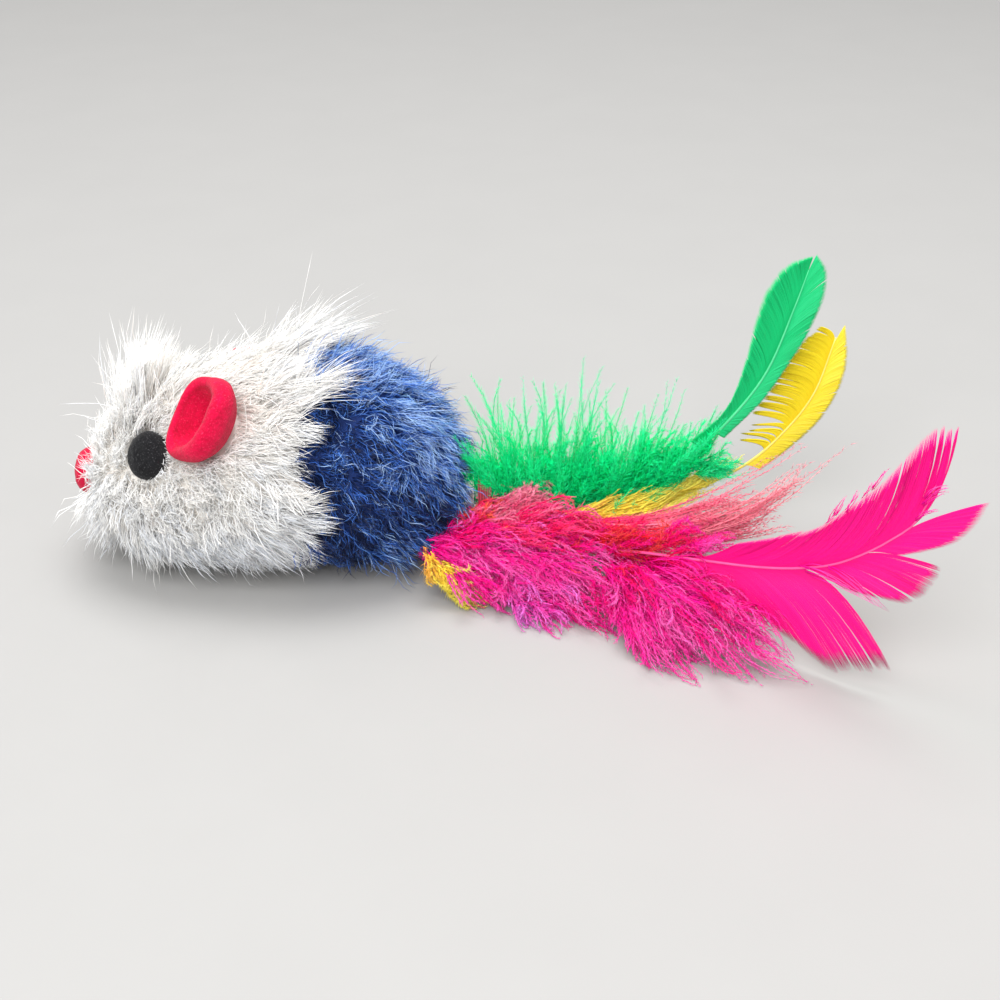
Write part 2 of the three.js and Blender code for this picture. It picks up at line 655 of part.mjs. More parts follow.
// Points along one barb from the quill to its end, with the thickness of the web at each.
function barbRows(curve, at, full, pullIn, face, kind) {
  const base = curve.getPointAt(at);
  const end = full.clone().lerp(base, pullIn);
  const sweep = curve.getTangentAt(at).multiplyScalar(end.distanceTo(base) / 3);
  const barb = new THREE.QuadraticBezierCurve3(base, base.clone().add(sweep), end);
  const rows = [];
  for (let row = 0; row <= webRows; row += 1) {
    const along = row / webRows;
    const centre = barb.getPoint(along).addScaledVector(face, kind.camber * along * (along - 0.5));
    rows.push({ centre, thick: kind.rootThick + (kind.edgeThick - kind.rootThick) * along });
  }
  return rows;
}

// The three long feathers, each with the short fixed root of its quill in the plug
Object.entries(feathers).forEach(([name, feather]) => {
  const { length, offset, side, depth } = feather.bend;
  const bend = new THREE.Vector3(barrelEnd + length, side * offset, tailHeight - depth);
  const heading = THREE.MathUtils.degToRad(feather.heading);
  const onward = new THREE.Vector3(Math.cos(heading), Math.sin(heading), 0);
  const face = new THREE.Vector3(Math.sin(heading), -Math.cos(heading), 0);
  const inPlane = ([u, v]) => bend.clone()
    .addScaledVector(onward, u * feather.reach)
    .setZ(bend.z + v * feather.rise);

  const bore = besideTail(barrelEnd, plug.boreOffset, -feather.boreTurn);
  const rootStart = bore.clone().setX(barrelEnd - plug.boreDepth + clearance);
  const rootEnd = bend.clone().addScaledVector(onward, -(quill.bendRadius + clearance));
  const lead = rootEnd.clone().addScaledVector(onward, -quill.lead);
  const rootCurve = new THREE.CatmullRomCurve3([rootStart, bore, lead, rootEnd]);
  const root = taperedTube(rootCurve, quill.rootRadius, quill.bendRadius, 7, 8, false);
  addPiece(`${name}_quill`, root, feather.colour, 0.6);

  const quillCurve = new THREE.CatmullRomCurve3(quillShares[name].map(inPlane));
  const parts = [taperedTube(quillCurve, quill.bendRadius, quill.tipRadius, 15, 6, true)];
  webShares[name].forEach((web, order) => {
    const edge = new THREE.CatmullRomCurve3(web.edge.map(inPlane));
    const otherEdge = web.otherEdge && new THREE.CatmullRomCurve3(web.otherEdge.map(inPlane));
    parts.push(barbWeb(quillCurve, edge, otherEdge, face, web, order));
  });
  addPiece(`${name}_feather`, joined(parts), feather.colour, 0.7);
});

// The loose plumes, bound under the thread round the barrel
Object.entries(plumes).forEach(([name, plume]) => {
  const start = besideTail(barrelPlace + clearance, plumeRootRadius, plume.turn);
  const leave = besideTail(barrelEnd, plumeRootRadius, plume.turn);
  const heading = THREE.MathUtils.degToRad(plume.heading);
  const onward = new THREE.Vector3(Math.cos(heading), Math.sin(heading), 0);
  const face = new THREE.Vector3(Math.sin(heading), -Math.cos(heading), 0);
  const inPlane = ([u, v, out = 1]) => new THREE.Vector3(barrelEnd, 0, v * tailHeight)
    .addScaledVector(onward, u * plume.reach)
    .addScaledVector(face, out * plume.setOff);
  const curve = new THREE.CatmullRomCurve3([start, leave, ...plume.routeShares.map(inPlane)]);
  const edge = new THREE.CatmullRomCurve3(plume.edgeShares.map(inPlane));
  const otherEdge = new THREE.CatmullRomCurve3(plume.otherEdgeShares.map(inPlane));
  const web = barbWeb(curve, edge, otherEdge, face, { kind: down, ...plume.web }, 0);
  const plumeStem = taperedTube(curve, plumeQuill.radius, plumeQuill.tipRadius, 16, 6, false);
  addPiece(name, plumeStem.add(web), plume.colour, 0.9);
});

export default toy;
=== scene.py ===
# A cat toy: a furry mouse with a tail of dyed feathers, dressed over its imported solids.
import json
import math
import bpy
import numpy as np
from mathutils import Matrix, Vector

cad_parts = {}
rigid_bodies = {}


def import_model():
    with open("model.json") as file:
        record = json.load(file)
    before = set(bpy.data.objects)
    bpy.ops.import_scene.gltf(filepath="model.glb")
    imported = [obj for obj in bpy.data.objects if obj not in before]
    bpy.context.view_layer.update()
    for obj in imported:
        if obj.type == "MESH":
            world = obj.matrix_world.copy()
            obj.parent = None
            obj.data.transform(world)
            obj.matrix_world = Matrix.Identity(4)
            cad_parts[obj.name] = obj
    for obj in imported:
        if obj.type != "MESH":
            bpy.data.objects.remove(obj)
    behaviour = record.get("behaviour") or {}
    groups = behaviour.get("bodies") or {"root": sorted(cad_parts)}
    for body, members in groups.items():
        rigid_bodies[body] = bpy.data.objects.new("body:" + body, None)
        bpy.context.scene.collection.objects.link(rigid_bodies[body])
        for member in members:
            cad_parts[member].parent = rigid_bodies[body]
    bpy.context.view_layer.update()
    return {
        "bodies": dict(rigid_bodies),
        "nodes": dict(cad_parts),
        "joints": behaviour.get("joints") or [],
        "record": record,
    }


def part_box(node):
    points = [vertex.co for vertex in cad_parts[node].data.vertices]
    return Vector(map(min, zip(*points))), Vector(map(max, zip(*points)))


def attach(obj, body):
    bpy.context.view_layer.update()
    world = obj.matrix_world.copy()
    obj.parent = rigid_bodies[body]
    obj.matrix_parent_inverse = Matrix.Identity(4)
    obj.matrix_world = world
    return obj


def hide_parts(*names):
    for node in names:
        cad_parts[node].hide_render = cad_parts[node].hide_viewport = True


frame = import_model()
mm = 0.001  # shapes are worked out in millimetres
print("frame loaded")


def unit(v):
    # each row divided by its length
    return v / np.maximum(np.linalg.norm(v, axis=-1, keepdims=True), 1e-9)


def addObject(name, data):
    # an object of the scene round a mesh, a lamp or a camera
    made = bpy.data.objects.new(name, data)
    bpy.context.scene.collection.objects.link(made)
    return made


def makePiece(name, points, faces, material, body, stands=(), uvs=None):
    # one smooth mesh from rows of points in millimetres and rows of corner numbers, which rides a body,
    # takes a material and stands for CAD nodes, whose solids it hides
    mesh = bpy.data.meshes.new(name)
    mesh.from_pydata(points * mm, [], faces)
    if uvs is not None:
        layer = mesh.uv_layers.new(name="OFBake")
        layer.data.foreach_set("uv", uvs[faces.ravel()].astype(np.float32).ravel())
    mesh.polygons.foreach_set("use_smooth", np.ones(len(faces), bool))
    mesh.materials.append(material)
    mesh.update()
    piece = addObject(name, mesh)
    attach(piece, body)
    if stands:
        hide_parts(*stands)
    return piece


def joinForms(forms):
    # several (points, faces, uvs) as one, with the corner numbers moved up
    points, faces, uvs = zip(*forms)
    starts = np.cumsum([0] + [len(p) for p in points])
    return np.concatenate(points), np.concatenate([f + s for f, s in zip(faces, starts)]), np.concatenate(uvs)


def hairUvs(along, side, rows):
    # u runs along each hair, v is its colour row, and a small step to each side keeps its faces open
    uvs = np.empty((len(rows), np.shape(side)[0], 2))
    uvs[..., 0] = along
    uvs[..., 1] = np.clip(rows, 0.02, 0.98)[:, None] + side
    return uvs.reshape(-1, 2)


def repeated(one, count, corners):
    # the faces of one hair, once for each hair
    return (one[None] + corners * np.arange(count)[:, None, None]).reshape(-1, 3)


def stripForm(paths, across, out, halfWidth, halfThick, rows):
    # carries a three-cornered section along each path: point = path + a * across * half width
    # + b * out * half thickness, with a face over the root and a point at the tip
    count, steps = paths.shape[:2]
    corners = np.array([[-1, -0.4], [1, -0.4], [0, 0.8]])
    body = slice(0, steps - 1)
    ring = (paths[:, body, None]
            + corners[:, 0, None] * across[:, body, None] * halfWidth[:, body, None, None]
            + corners[:, 1, None] * out[:, body, None] * halfThick[:, body, None, None])
    points = np.concatenate([ring.reshape(count, -1, 3), paths[:, -1:]], axis=1)
    ringStart = 3 * np.arange(steps - 2)[:, None]
    here, after = np.array([0, 1, 2]), np.array([1, 2, 0])
    low = np.stack([ringStart + here, ringStart + after, ringStart + after + 3], axis=-1)
    high = np.stack([ringStart + here, ringStart + after + 3, ringStart + here + 3], axis=-1)
    last = 3 * (steps - 2)
    tip = np.stack([last + here, last + after, np.full(3, last + 3)], axis=-1)
    one = np.concatenate([low.reshape(-1, 3), high.reshape(-1, 3), tip, [[0, 2, 1]]])
    faces = repeated(one, count, points.shape[1])
    along = np.repeat(np.arange(steps - 1) / (steps - 1), 3) + np.tile([0, 0, 0.01], steps - 1)
    side = np.append(np.tile([-0.004, 0.004, 0], steps - 1), 0)
    return points.reshape(-1, 3), faces, hairUvs(np.append(along, 1) * 0.98 + 0.01, side, rows)


def spikeForm(start, end, radius, along, rows, dice):
    # the finest hairs: a three-cornered foot round each start, drawn to a point at its end
    way = unit(end - start)
    across = unit(np.cross(way, dice.normal(size=way.shape)))
    turn = np.array([0, 2, 4]) * math.pi / 3
    foot = start[:, None] + radius * (np.cos(turn)[:, None] * across[:, None]
                                      + np.sin(turn)[:, None] * np.cross(way, across)[:, None])
    points = np.concatenate([foot, end[:, None]], axis=1)
    faces = repeated(np.array([[0, 2, 1], [0, 1, 3], [1, 2, 3], [2, 0, 3]]), len(start), 4)
    along = np.clip(along[:, None] + np.array([0, 0.01, 0.005, 0.1]), 0.01, 0.99)
    return points.reshape(-1, 3), faces, hairUvs(along, np.array([-0.004, 0, 0.004, 0]), rows)


def tangentsOf(paths):
    # the direction of each path at each point, as the mean of the steps before and after it
    step = np.diff(paths, axis=1)
    return unit(np.concatenate([step[:, :1], step[:, 1:] + step[:, :-1], step[:, -1:]], axis=1))


def hairForm(paths, radius, rows, dice, taper):
    # round tapering hairs: half width = radius * (1 - taper * share along)
    tangent = tangentsOf(paths)
    across = unit(np.cross(tangent, unit(dice.normal(size=(len(paths), 1, 3)))))
    half = radius[:, None] * (1 - taper * np.linspace(0, 1, paths.shape[1]))
    return stripForm(paths, across, np.cross(tangent, across), half, half, rows)


def smoothLine(places, count=400, even=True):
    # a centripetal Catmull-Rom curve through the places, then spaced evenly along its length
    p = np.asarray(places, float)
    p = np.concatenate([[2 * p[0] - p[1]], p, [2 * p[-1] - p[-2]]])
    t = np.linspace(0, len(p) - 3, count)
    seg = np.minimum(t.astype(int), len(p) - 4)
    f = (t - seg)[:, None]
    a, b, c, d = p[seg], p[seg + 1], p[seg + 2], p[seg + 3]
    ab, bc, cd = (np.sqrt(np.linalg.norm(v, axis=1, keepdims=True)) for v in (b - a, c - b, d - c))
    start = ((b - a) / ab - (c - a) / (ab + bc) + (c - b) / bc) * bc
    end = ((c - b) / bc - (d - b) / (bc + cd) + (d - c) / cd) * bc
    line = b + start * f + (3 * (c - b) - 2 * start - end) * f**2 + (2 * (b - c) + start + end) * f**3
    if even:
        gone = np.append(0, np.cumsum(np.linalg.norm(np.diff(line, axis=0), axis=1)))
        line = lineAt(line, np.linspace(0, 1, count), gone / gone[-1])
    return line


def lineAt(line, share, stops=None):
    # places on a line at shares of its length
    stops = np.linspace(0, 1, len(line)) if stops is None else stops
    return np.stack([np.interp(share, stops, line[:, k]) for k in range(3)], axis=-1)


def bent(start, middle, end, steps):
    # a quadratic Bezier from start to end, pulled toward middle
    s = np.linspace(0, 1, steps)[:, None]
    return (1 - s)**2 * start[:, None] + 2 * s * (1 - s) * middle[:, None] + s**2 * end[:, None]


class Wire:
    # a socket that takes part in Python expressions, each of which adds a Math node
    def __init__(self, desk, socket):
        self.desk, self.socket = desk, socket

    def maths(self, operation, *values):
        return self.desk.node("ShaderNodeMath", {"operation": operation}, dict(enumerate(values)))

    def __add__(self, other):
        return self.maths("ADD", self, other)

    def __sub__(self, other):
        return self.maths("SUBTRACT", self, other)

    def __rsub__(self, other):
        return self.maths("SUBTRACT", other, self)

    def __mul__(self, other):
        return self.maths("MULTIPLY", self, other)

    __radd__ = __add__
    __rmul__ = __mul__


class Desk:
    # the node tree of one material, with its surface shader
    def __init__(self, name, **constants):
        self.material = bpy.data.materials.new(name)
        self.material.use_nodes = True
        self.tree = self.material.node_tree
        self.tree.nodes.clear()
        self.shader = self.tree.nodes.new("ShaderNodeBsdfPrincipled")
        output = self.tree.nodes.new("ShaderNodeOutputMaterial")
        self.tree.links.new(self.shader.outputs[0], output.inputs["Surface"])
        for socket, value in constants.items():
            self.shader.inputs[socket.replace("_", " ")].default_value = value

    def node(self, kind, settings=None, inputs=None, output=0):
        made = self.tree.nodes.new(kind)
        for key, value in (settings or {}).items():
            if key == "stops":
                self.setStops(made.color_ramp, value)
            else:
                setattr(made, key, value)
        for key, value in (inputs or {}).items():
            if isinstance(value, Wire):
                self.tree.links.new(value.socket, made.inputs[key])
            else:
                made.inputs[key].default_value = value
        return Wire(self, made.outputs[output])

    def setStops(self, ramp, stops):
        while len(ramp.elements) < len(stops):
            ramp.elements.new(0.5)
        for element, (place, colour) in zip(ramp.elements, stops):
            element.position = place
            element.color = (*colour, 1)

    def mixColours(self, factor, a, b):
        return self.node("ShaderNodeMix", {"data_type": "RGBA"}, {0: factor, 6: opaque(a), 7: opaque(b)}, 2)

    def noise(self, scale, detail, rough=0.5):
        inputs = {"Vector": self.objectPlace(), "Scale": scale, "Detail": detail, "Roughness": rough}
        return self.node("ShaderNodeTexNoise", None, inputs)

    def objectPlace(self):
        return self.node("ShaderNodeTexCoord", output="Object")

    def paint(self, socket, wire):
        self.tree.links.new(wire.socket, self.shader.inputs[socket])

    def bump(self, height, strength, distance):
        made = self.node("ShaderNodeBump", None, {"Height": height, "Strength": strength, "Distance": distance})
        self.paint("Normal", made)


def opaque(colour):
    # a colour with its alpha, and a wire as it is
    return colour if isinstance(colour, Wire) else (*colour, 1)


def dyed(rgb):
    # a colour written as it shows, from 0 to 255, turned to the linear values that sockets hold
    c = np.array(rgb) / 255
    return tuple(np.where(c <= 0.04045, c / 12.92, ((c + 0.055) / 1.055)**2.4).tolist())


def ramp(stops):
    # a dictionary of places and colours, as a colour ramp takes it
    return [(place, dyed(colour)) for place, colour in stops.items()]


def pileMaterial(name, rootStops, tipStops, reach=0.6, roughness=0.6, sheen=0.0, gloss=0.25):
    # colour = root colour of the row, turning to the tip colour of the row by reach of the length
    desk = Desk(name, Roughness=roughness, Specular_IOR_Level=gloss, Sheen_Weight=sheen, Sheen_Roughness=0.4)
    place = desk.node("ShaderNodeUVMap", {"uv_map": "OFBake"})
    split = desk.node("ShaderNodeSeparateXYZ", None, {"Vector": place})
    row = Wire(desk, split.socket.node.outputs["Y"])
    along = desk.node("ShaderNodeMapRange", {"interpolation_type": "SMOOTHSTEP"},
                      {"Value": split, "From Max": reach})
    root, tip = (desk.node("ShaderNodeValToRGB", {"stops": ramp(stops)}, {"Fac": row})
                 for stops in (rootStops, tipStops))
    desk.paint("Base Color", desk.mixColours(along, root, tip))
    return desk.material


def vaneMaterial(name, rootStops, tipStops):
    # the firm barbs are smoother than hair
    return pileMaterial(name, rootStops, tipStops, reach=0.5, roughness=0.5)


def downMaterial(name, rootStops, tipStops, reach=0.8, gloss=0.12):
    # the down is duller than hair, and pales slowly
    return pileMaterial(name, rootStops, tipStops, reach=reach, gloss=gloss)


def feltMaterial(name, deep, bright, fleck):
    # matted wool: broad and fine noise between two shades, pale flecks, and a fibrous bump
    desk = Desk(name, Roughness=0.95, Specular_IOR_Level=0.1, Sheen_Weight=0.08, Sheen_Roughness=0.6)
    broad = desk.noise(420, 4, 0.7)
    fine = desk.noise(2600, 3, 0.7)
    shade = desk.mixColours((broad * 0.5 + fine * 0.5 - 0.3) * 2.4, dyed(deep), dyed(bright))
    specks = desk.node("ShaderNodeMapRange", None, {"Value": desk.noise(5200, 1), "From Min": 0.62, "From Max": 0.75})
    desk.paint("Base Color", desk.mixColours(specks * 0.35, shade, dyed(fleck)))
    desk.bump(broad * 0.6 + fine, 0.6, 0.0003)
    return desk.material


def backingMaterial(name, dark, light):
    # the knitted backing that shows between the hairs
    desk = Desk(name, Roughness=0.95, Specular_IOR_Level=0.1)
    weave = desk.noise(1500, 4, 0.7)
    desk.paint("Base Color", desk.mixColours(weave, dyed(dark), dyed(light)))
    desk.bump(weave, 0.5, 0.0002)
    return desk.material


def plainMaterial(name, dark, light, roughness):
    # moulded or grown stock: two close shades and a faint surface
    desk = Desk(name, Roughness=roughness)
    desk.paint("Base Color", desk.mixColours(desk.noise(300, 3), dyed(dark), dyed(light)))
    desk.bump(desk.noise(900, 3), 0.4, 0.00004)
    return desk.material


# camera, floor and light, where the photo has them

def faced(direction):
    # the turn that points a camera's or a lamp's front along a direction
    return Vector(direction).to_track_quat("-Z", "Y").to_euler()


view = {"place": (33.7, -210.5, 135.1), "toward": (0, 0.857, -0.515), "angle": 33.4}
cameraData = bpy.data.cameras.new("camera")
cameraData.angle = math.radians(view["angle"])
camera = addObject("camera", cameraData)
camera.location = Vector(view["place"]) * mm
camera.rotation_euler = faced(view["toward"])
bpy.context.scene.camera = camera
bpy.context.scene.view_settings.view_transform = "Standard"

studio = {"floorSize": 12000, "floorColour": (0.40, 0.395, 0.387), "floorMottle": 1.04, "skyStrength": 0.64,
          "aim": (0.02, 0, 0.015), "lamps": {"key": (3.0, 0.4, (0.04, 0.02, 0.62)),
                                             "fill": (7.0, 0.5, (-0.12, -0.6, 0.62))}}
half = studio["floorSize"] / 2
floorMesh = bpy.data.meshes.new("floor")
floorMesh.from_pydata(np.array([[-half, -half, 0], [half, -half, 0], [half, half, 0], [-half, half, 0]]) * mm,
                      [], [[0, 1, 2, 3]])
floorDesk = Desk("pale floor", Roughness=0.8, Specular_IOR_Level=0.2)
floorDesk.paint("Base Color", floorDesk.mixColours(floorDesk.noise(60, 3), studio["floorColour"],
                                                   [c * studio["floorMottle"] for c in studio["floorColour"]]))
floorMesh.materials.append(floorDesk.material)
floor = addObject("floor", floorMesh)

world = bpy.data.worlds.new("studio")
world.use_nodes = True
world.node_tree.nodes["Background"].inputs["Color"].default_value = (1, 1, 1, 1)
world.node_tree.nodes["Background"].inputs["Strength"].default_value = studio["skyStrength"]
bpy.context.scene.world = world

for name, (power, size, place) in studio["lamps"].items():
    lamp = bpy.data.lights.new(f"{name} light", "AREA")
    lamp.energy, lamp.size = power, size
    holder = addObject(f"{name} light", lamp)
    holder.location = place
    holder.rotation_euler = faced(Vector(studio["aim"]) - Vector(place))
print("camera, floor and light")


# the coat: the body's form and the cloth under its pile

coat = {"noseReach": 30.3, "rumpReach": 24.5, "fullestPlace": 4.0, "width": 32.6, "height": 31.4,
        "flatDepth": 0.5, "noseDrop": 3.0, "rumpDrop": 4.4, "noseFullness": 2.5, "rumpFullness": 2.7,
        "wall": 2.35, "pileDepth": 0.9, "bellyDepth": 1.1, "bellyFrom": 1.5, "bellySpan": 1.0,
        "seamBack": 0.15, "noseGap": 0.02, "tailSwing": 83, "floorGap": 0.02, "inside": 4.0, "combFade": 15}
# the plug in the rump: where its neck and its barrel are, and where the plumes are bound to it
tail = {"height": 10.4, "neckStart": 26, "neckRoom": 2.6, "barrelEnd": 33.7, "plumeFoot": 30.2, "plumeRoot": 2.8}
coatMiddle = coat["height"] / 2 - coat["flatDepth"]
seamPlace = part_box("rear_cover")[0].x / mm - coat["seamBack"]


def coatPoint(swing, turn, inset=0.0):
    # share = sin(swing) of the reach ahead or behind, round = sqrt(1 - |share|^fullness), then an
    # ellipse of half width and half height times round; turn runs from the top down the left side
    share = np.sin(swing)
    ahead = share < 0
    reach = np.where(ahead, coat["noseReach"], coat["rumpReach"]) - inset
    fullness = np.where(ahead, coat["noseFullness"], coat["rumpFullness"])
    drop = np.where(ahead, coat["noseDrop"] * share**2, coat["rumpDrop"] * np.abs(share)**3)
    round_ = np.sqrt(np.maximum(0, 1 - np.abs(share)**fullness))
    middle = coatMiddle - drop
    x = coat["fullestPlace"] + share * reach
    y = -(coat["width"] / 2 - inset) * round_ * np.sin(turn)
    z = middle + (coat["height"] / 2 - inset) * round_ * np.cos(turn)
    return np.stack(np.broadcast_arrays(x, y, np.maximum(z, coat["floorGap"] + inset)), axis=-1)


def bedPoint(swing, turn):
    # the bed of the pile lies inside the coat by the pile's depth, and deeper low on the flanks
    low = np.clip((np.abs(wrapped(turn)) - coat["bellyFrom"]) / coat["bellySpan"], 0, 1)
    return coatPoint(swing, turn, coat["pileDepth"] + coat["bellyDepth"] * low * low * (3 - 2 * low))


def coatFrame(swing, turn):
    # place, outward normal, rearward direction and the direction down the side, by small differences
    small = 1e-3
    place = bedPoint(swing, turn)
    back = unit(bedPoint(swing + small, turn) - bedPoint(swing - small, turn))
    round_ = unit(bedPoint(swing, turn + small) - bedPoint(swing, turn - small))
    out = unit(np.cross(back, round_))
    out = out * np.sign(np.sum(out * (place - coatPoint(swing, turn, coat["inside"])), axis=-1, keepdims=True))
    return place, out, back, round_ * np.tanh(np.degrees(wrapped(turn)) / coat["combFade"])[..., None]


def wrapped(turn):
    # a turn between minus and plus half a turn
    return (turn + np.pi) % (2 * np.pi) - np.pi


def swingAt(x):
    # the swing whose section lies at x
    reach = np.where(x < coat["fullestPlace"], coat["noseReach"], coat["rumpReach"])
    return np.arcsin(np.clip((x - coat["fullestPlace"]) / reach, -1, 1))


def sleeveForm(fromSwing, toSwing, wall, rings=60, sides=96):
    # a cloth sleeve: out along the coat and back along an inner coat drawn in by the wall, with the
    # two ends of the profile joined, so that it closes on itself
    swing = np.concatenate([np.linspace(fromSwing, toSwing, rings), np.linspace(toSwing, fromSwing, rings)])
    turn = np.linspace(0, 2 * np.pi, sides, endpoint=False)
    points = np.stack([bedPoint(swing[:rings, None], turn), coatPoint(swing[rings:, None], turn, wall)])
    rows, side = np.arange(2 * rings)[:, None], np.arange(sides)[None]
    nexts, after = (rows + 1) % (2 * rings), (side + 1) % sides
    faces = np.stack([rows * sides + side, nexts * sides + side, nexts * sides + after, rows * sides + after], axis=-1)
    return points.reshape(-1, 3), faces.reshape(-1, 4)


# row 0 is a cool grey, painted shade for the belly and the low flanks; at every row the roots are a little darker than
# the tips, painted shade deep in the pile; row 1 is a peach tint
whitePile = pileMaterial(
    "white pile",
    {0: (206, 212, 220), 0.35: (250, 248, 245), 0.7: (252, 244, 234), 1: (254, 220, 204)},
    {0: (230, 236, 246), 0.35: (255, 255, 254), 0.7: (255, 252, 246), 1: (255, 238, 226)},
    roughness=0.4, sheen=1.0, gloss=0.4)
# the navy roots and low rows are partly the dye and partly painted shade, and the whitish tips of row 0.85 are painted
# glints; row 1 is a teal dye
bluePile = pileMaterial(
    "blue pile",
    {0: (4, 6, 20), 0.35: (16, 38, 100), 0.6: (30, 72, 162), 0.85: (62, 108, 196), 1: (16, 96, 156)},
    {0: (12, 18, 46), 0.35: (50, 102, 200), 0.6: (88, 144, 230), 0.85: (186, 214, 254), 1: (60, 160, 216)},
    roughness=0.35, gloss=0.35)
whiteBacking = backingMaterial("white backing", (226, 220, 212), (250, 246, 240))
# the blue backing is darker than the hair, painted shade deep in the pile
blueBacking = backingMaterial("blue backing", (22, 34, 74), (44, 66, 124))
noseSwing, tailSwing = -math.pi / 2 + coat["noseGap"], math.radians(coat["tailSwing"])
seamSwing = float(swingAt(seamPlace))
for name, swings, material, slot, node in (
        ("white_backing", (noseSwing, seamSwing), whiteBacking, "white_fur", "front_cover"),
        ("blue_backing", (seamSwing, tailSwing), blueBacking, "blue_fur", "rear_cover")):
    points, faces = sleeveForm(*swings, coat["wall"])
    piece = makePiece(name, points, faces, material, "mouse", (node,))


# where the felt trim sits, whose places the hair keeps clear of

eye = {"wide": 5.9, "high": 6.8, "thick": 1.6, "ahead": 18.5, "turn": 72, "lift": 0.8, "forward": 0.42,
       "up": (-0.15, 0, 1)}
nose = {"wide": 6.4, "high": 7.0, "thick": 1.7, "lift": 0.1, "rise": 1.6, "facing": (-1, 0, 0.12), "up": (0.1, 0, 1)}
# the ear's mouth and its side direction have y outward, and the left ear stands deeper in the coat
ear = {"height": 13.0, "width": 9.8, "depth": 5.0, "wall": 1.2, "roll": 1.9, "ahead": 10.7, "turn": 60.8, "lift": 4.13,
       "deeper": 0.9, "mouth": (-0.47, 0.58, 0.63), "across": (0.47, -0.52, 0.71)}
trimRoll = 20  # degrees: the mouse lies rolled this far, so its left eye and ear face upward


def placeOnCoat(ahead, lean, side, lift=0.0):
    # the place at a lean from the top, on the coat's section at a distance ahead of its fullest one
    share = ahead / coat["noseReach"]
    round_ = math.sqrt(1 - share**coat["noseFullness"])
    middle = coatMiddle - coat["noseDrop"] * share**2
    return np.array([coat["fullestPlace"] - ahead, side * (coat["width"] / 2 * round_ + lift) * math.sin(lean),
                     middle + (coat["height"] / 2 * round_ + lift) * math.cos(lean)])


def trimFrame(place, facing, up):
    # side, top and facing directions of a trim piece, as rows
    side = unit(np.cross(up, facing))
    return np.array(place, float), np.array([side, np.cross(facing, side), facing])


def eyeFrame(side):
    # an eye lies on the coat and looks outward and a little ahead
    turn = math.radians(eye["turn"] + side * trimRoll)
    facing = unit(np.array([-eye["forward"], side * math.sin(turn), math.cos(turn)]))
    return trimFrame(placeOnCoat(eye["ahead"], turn, side) + facing * eye["lift"], facing, np.array(eye["up"]))


def noseFrame():
    # the nose caps the muzzle
    place = [coat["fullestPlace"] - coat["noseReach"] - nose["lift"], 0, coatMiddle - coat["noseDrop"] + nose["rise"]]
    return trimFrame(place, unit(np.array(nose["facing"])), np.array(nose["up"]))


def rolledOver(v, side):
    # a direction whose y is outward, as it points on a side of the mouse, whose right side is turned
    # down by twice the roll
    angle = -2 * math.radians(trimRoll) if side > 0 else 0.0
    c, s = math.cos(angle), math.sin(angle)
    return np.array([v[0], c * side * v[1] - s * v[2], s * side * v[1] + c * v[2]])


def earFrame(side):
    # an ear stands on the coat with its mouth ahead and outward
    mouth = unit(rolledOver(ear["mouth"], side))
    across = unit(np.cross(rolledOver(ear["across"], side), mouth))
    lift = ear["lift"] - (ear["deeper"] if side < 0 else 0)
    place = placeOnCoat(ear["ahead"], math.radians(ear["turn"] + side * trimRoll), side, lift)
    return place, np.array([across, np.cross(mouth, across), mouth])


def inFrame(points, trim):
    # places along a trim piece's side, top and facing directions
    place, rows = trim
    return (points - place) @ rows.T


# the room that hair leaves: shares of an oval squared, a slant, and depths before and behind its face
trimRoom = {"eye": 1.15, "eyeSlant": 0.6, "ear": 0.9, "earBehind": 1.0, "earAhead": 6, "nose": 0.8, "noseBehind": 1.5}


def clearOfTrim(paths):
    # which hairs stay clear of the eyes, the nose and the hollows of the ears, along their length
    def oval(frame, wide, high, slant=0.0):
        a, b, c = np.moveaxis(inFrame(paths, frame), -1, 0)
        return ((a + slant * c) / (wide / 2))**2 + (b / (high / 2))**2, c

    share, c = oval(noseFrame(), nose["wide"], nose["high"])
    crossing = (share < trimRoom["nose"]) & (c > -trimRoom["noseBehind"])
    for side in (-1, 1):
        share, c = oval(eyeFrame(side), eye["wide"], eye["high"], side * trimRoom["eyeSlant"])
        crossing |= (share < trimRoom["eye"]) & (c > 0)
        share, c = oval(earFrame(side), ear["width"], ear["height"])
        crossing |= ((share < trimRoom["ear"]) & (c > ear["depth"] * (share - 1) - trimRoom["earBehind"])
                     & (c < trimRoom["earAhead"]))
    return ~crossing.any(axis=1)


# the hair of the coat

def bell(x, turn, place, spread):
    # exp(-(x off / spread)^2 - (turn off / spread)^2), with the turns in degrees
    return np.exp(-((x - place[0]) / spread[0])**2 - ((turn - place[1]) / spread[1])**2)


def fieldAt(tufts, x, turn, base):
    # a mean of the base and the tufts near a place, weighed by a bell over x and over the turn
    turn = np.degrees(wrapped(turn))
    total = np.ones(x.shape)
    value = np.repeat(np.array(base, float)[None], x.size, axis=0).reshape(*x.shape, len(base))
    for place, spread, strength, *wanted in tufts:
        weight = strength * bell(x, turn, place, spread)
        total = total + weight
        value = value + weight[..., None] * np.array(wanted, float)
    return np.moveaxis(value / total[..., None], -1, 0)


def spreadOver(span, dice, shape):
    # random numbers: the least + the spread * a number from 0 to 1
    least, spread = span
    return least + spread * dice.random(shape)


wandering = {"waves": 9, "round": 15, "phase": 6.28}


def drift(x, turn, size, dice):
    # a smooth wandering between about -1 and 1: a mean of sines that cross at many angles
    total = np.zeros(x.shape)
    for wave in range(wandering["waves"]):
        along, round_ = dice.normal(size=2) * 2 * math.pi / size
        total = total + np.sin(along * x + round_ * wandering["round"] * np.sin(turn + wave)
                               + wandering["phase"] * dice.random())
    return total / 3


# how far each measure of a lock strays by itself, how far with its neighbours, and over what length
lockDrift = {"lean": (0.6, 0.9, 7), "lift": (0.6, 0.8, 6), "length": (1, 0.5, 8), "row": (0.5, 0.6, 9)}


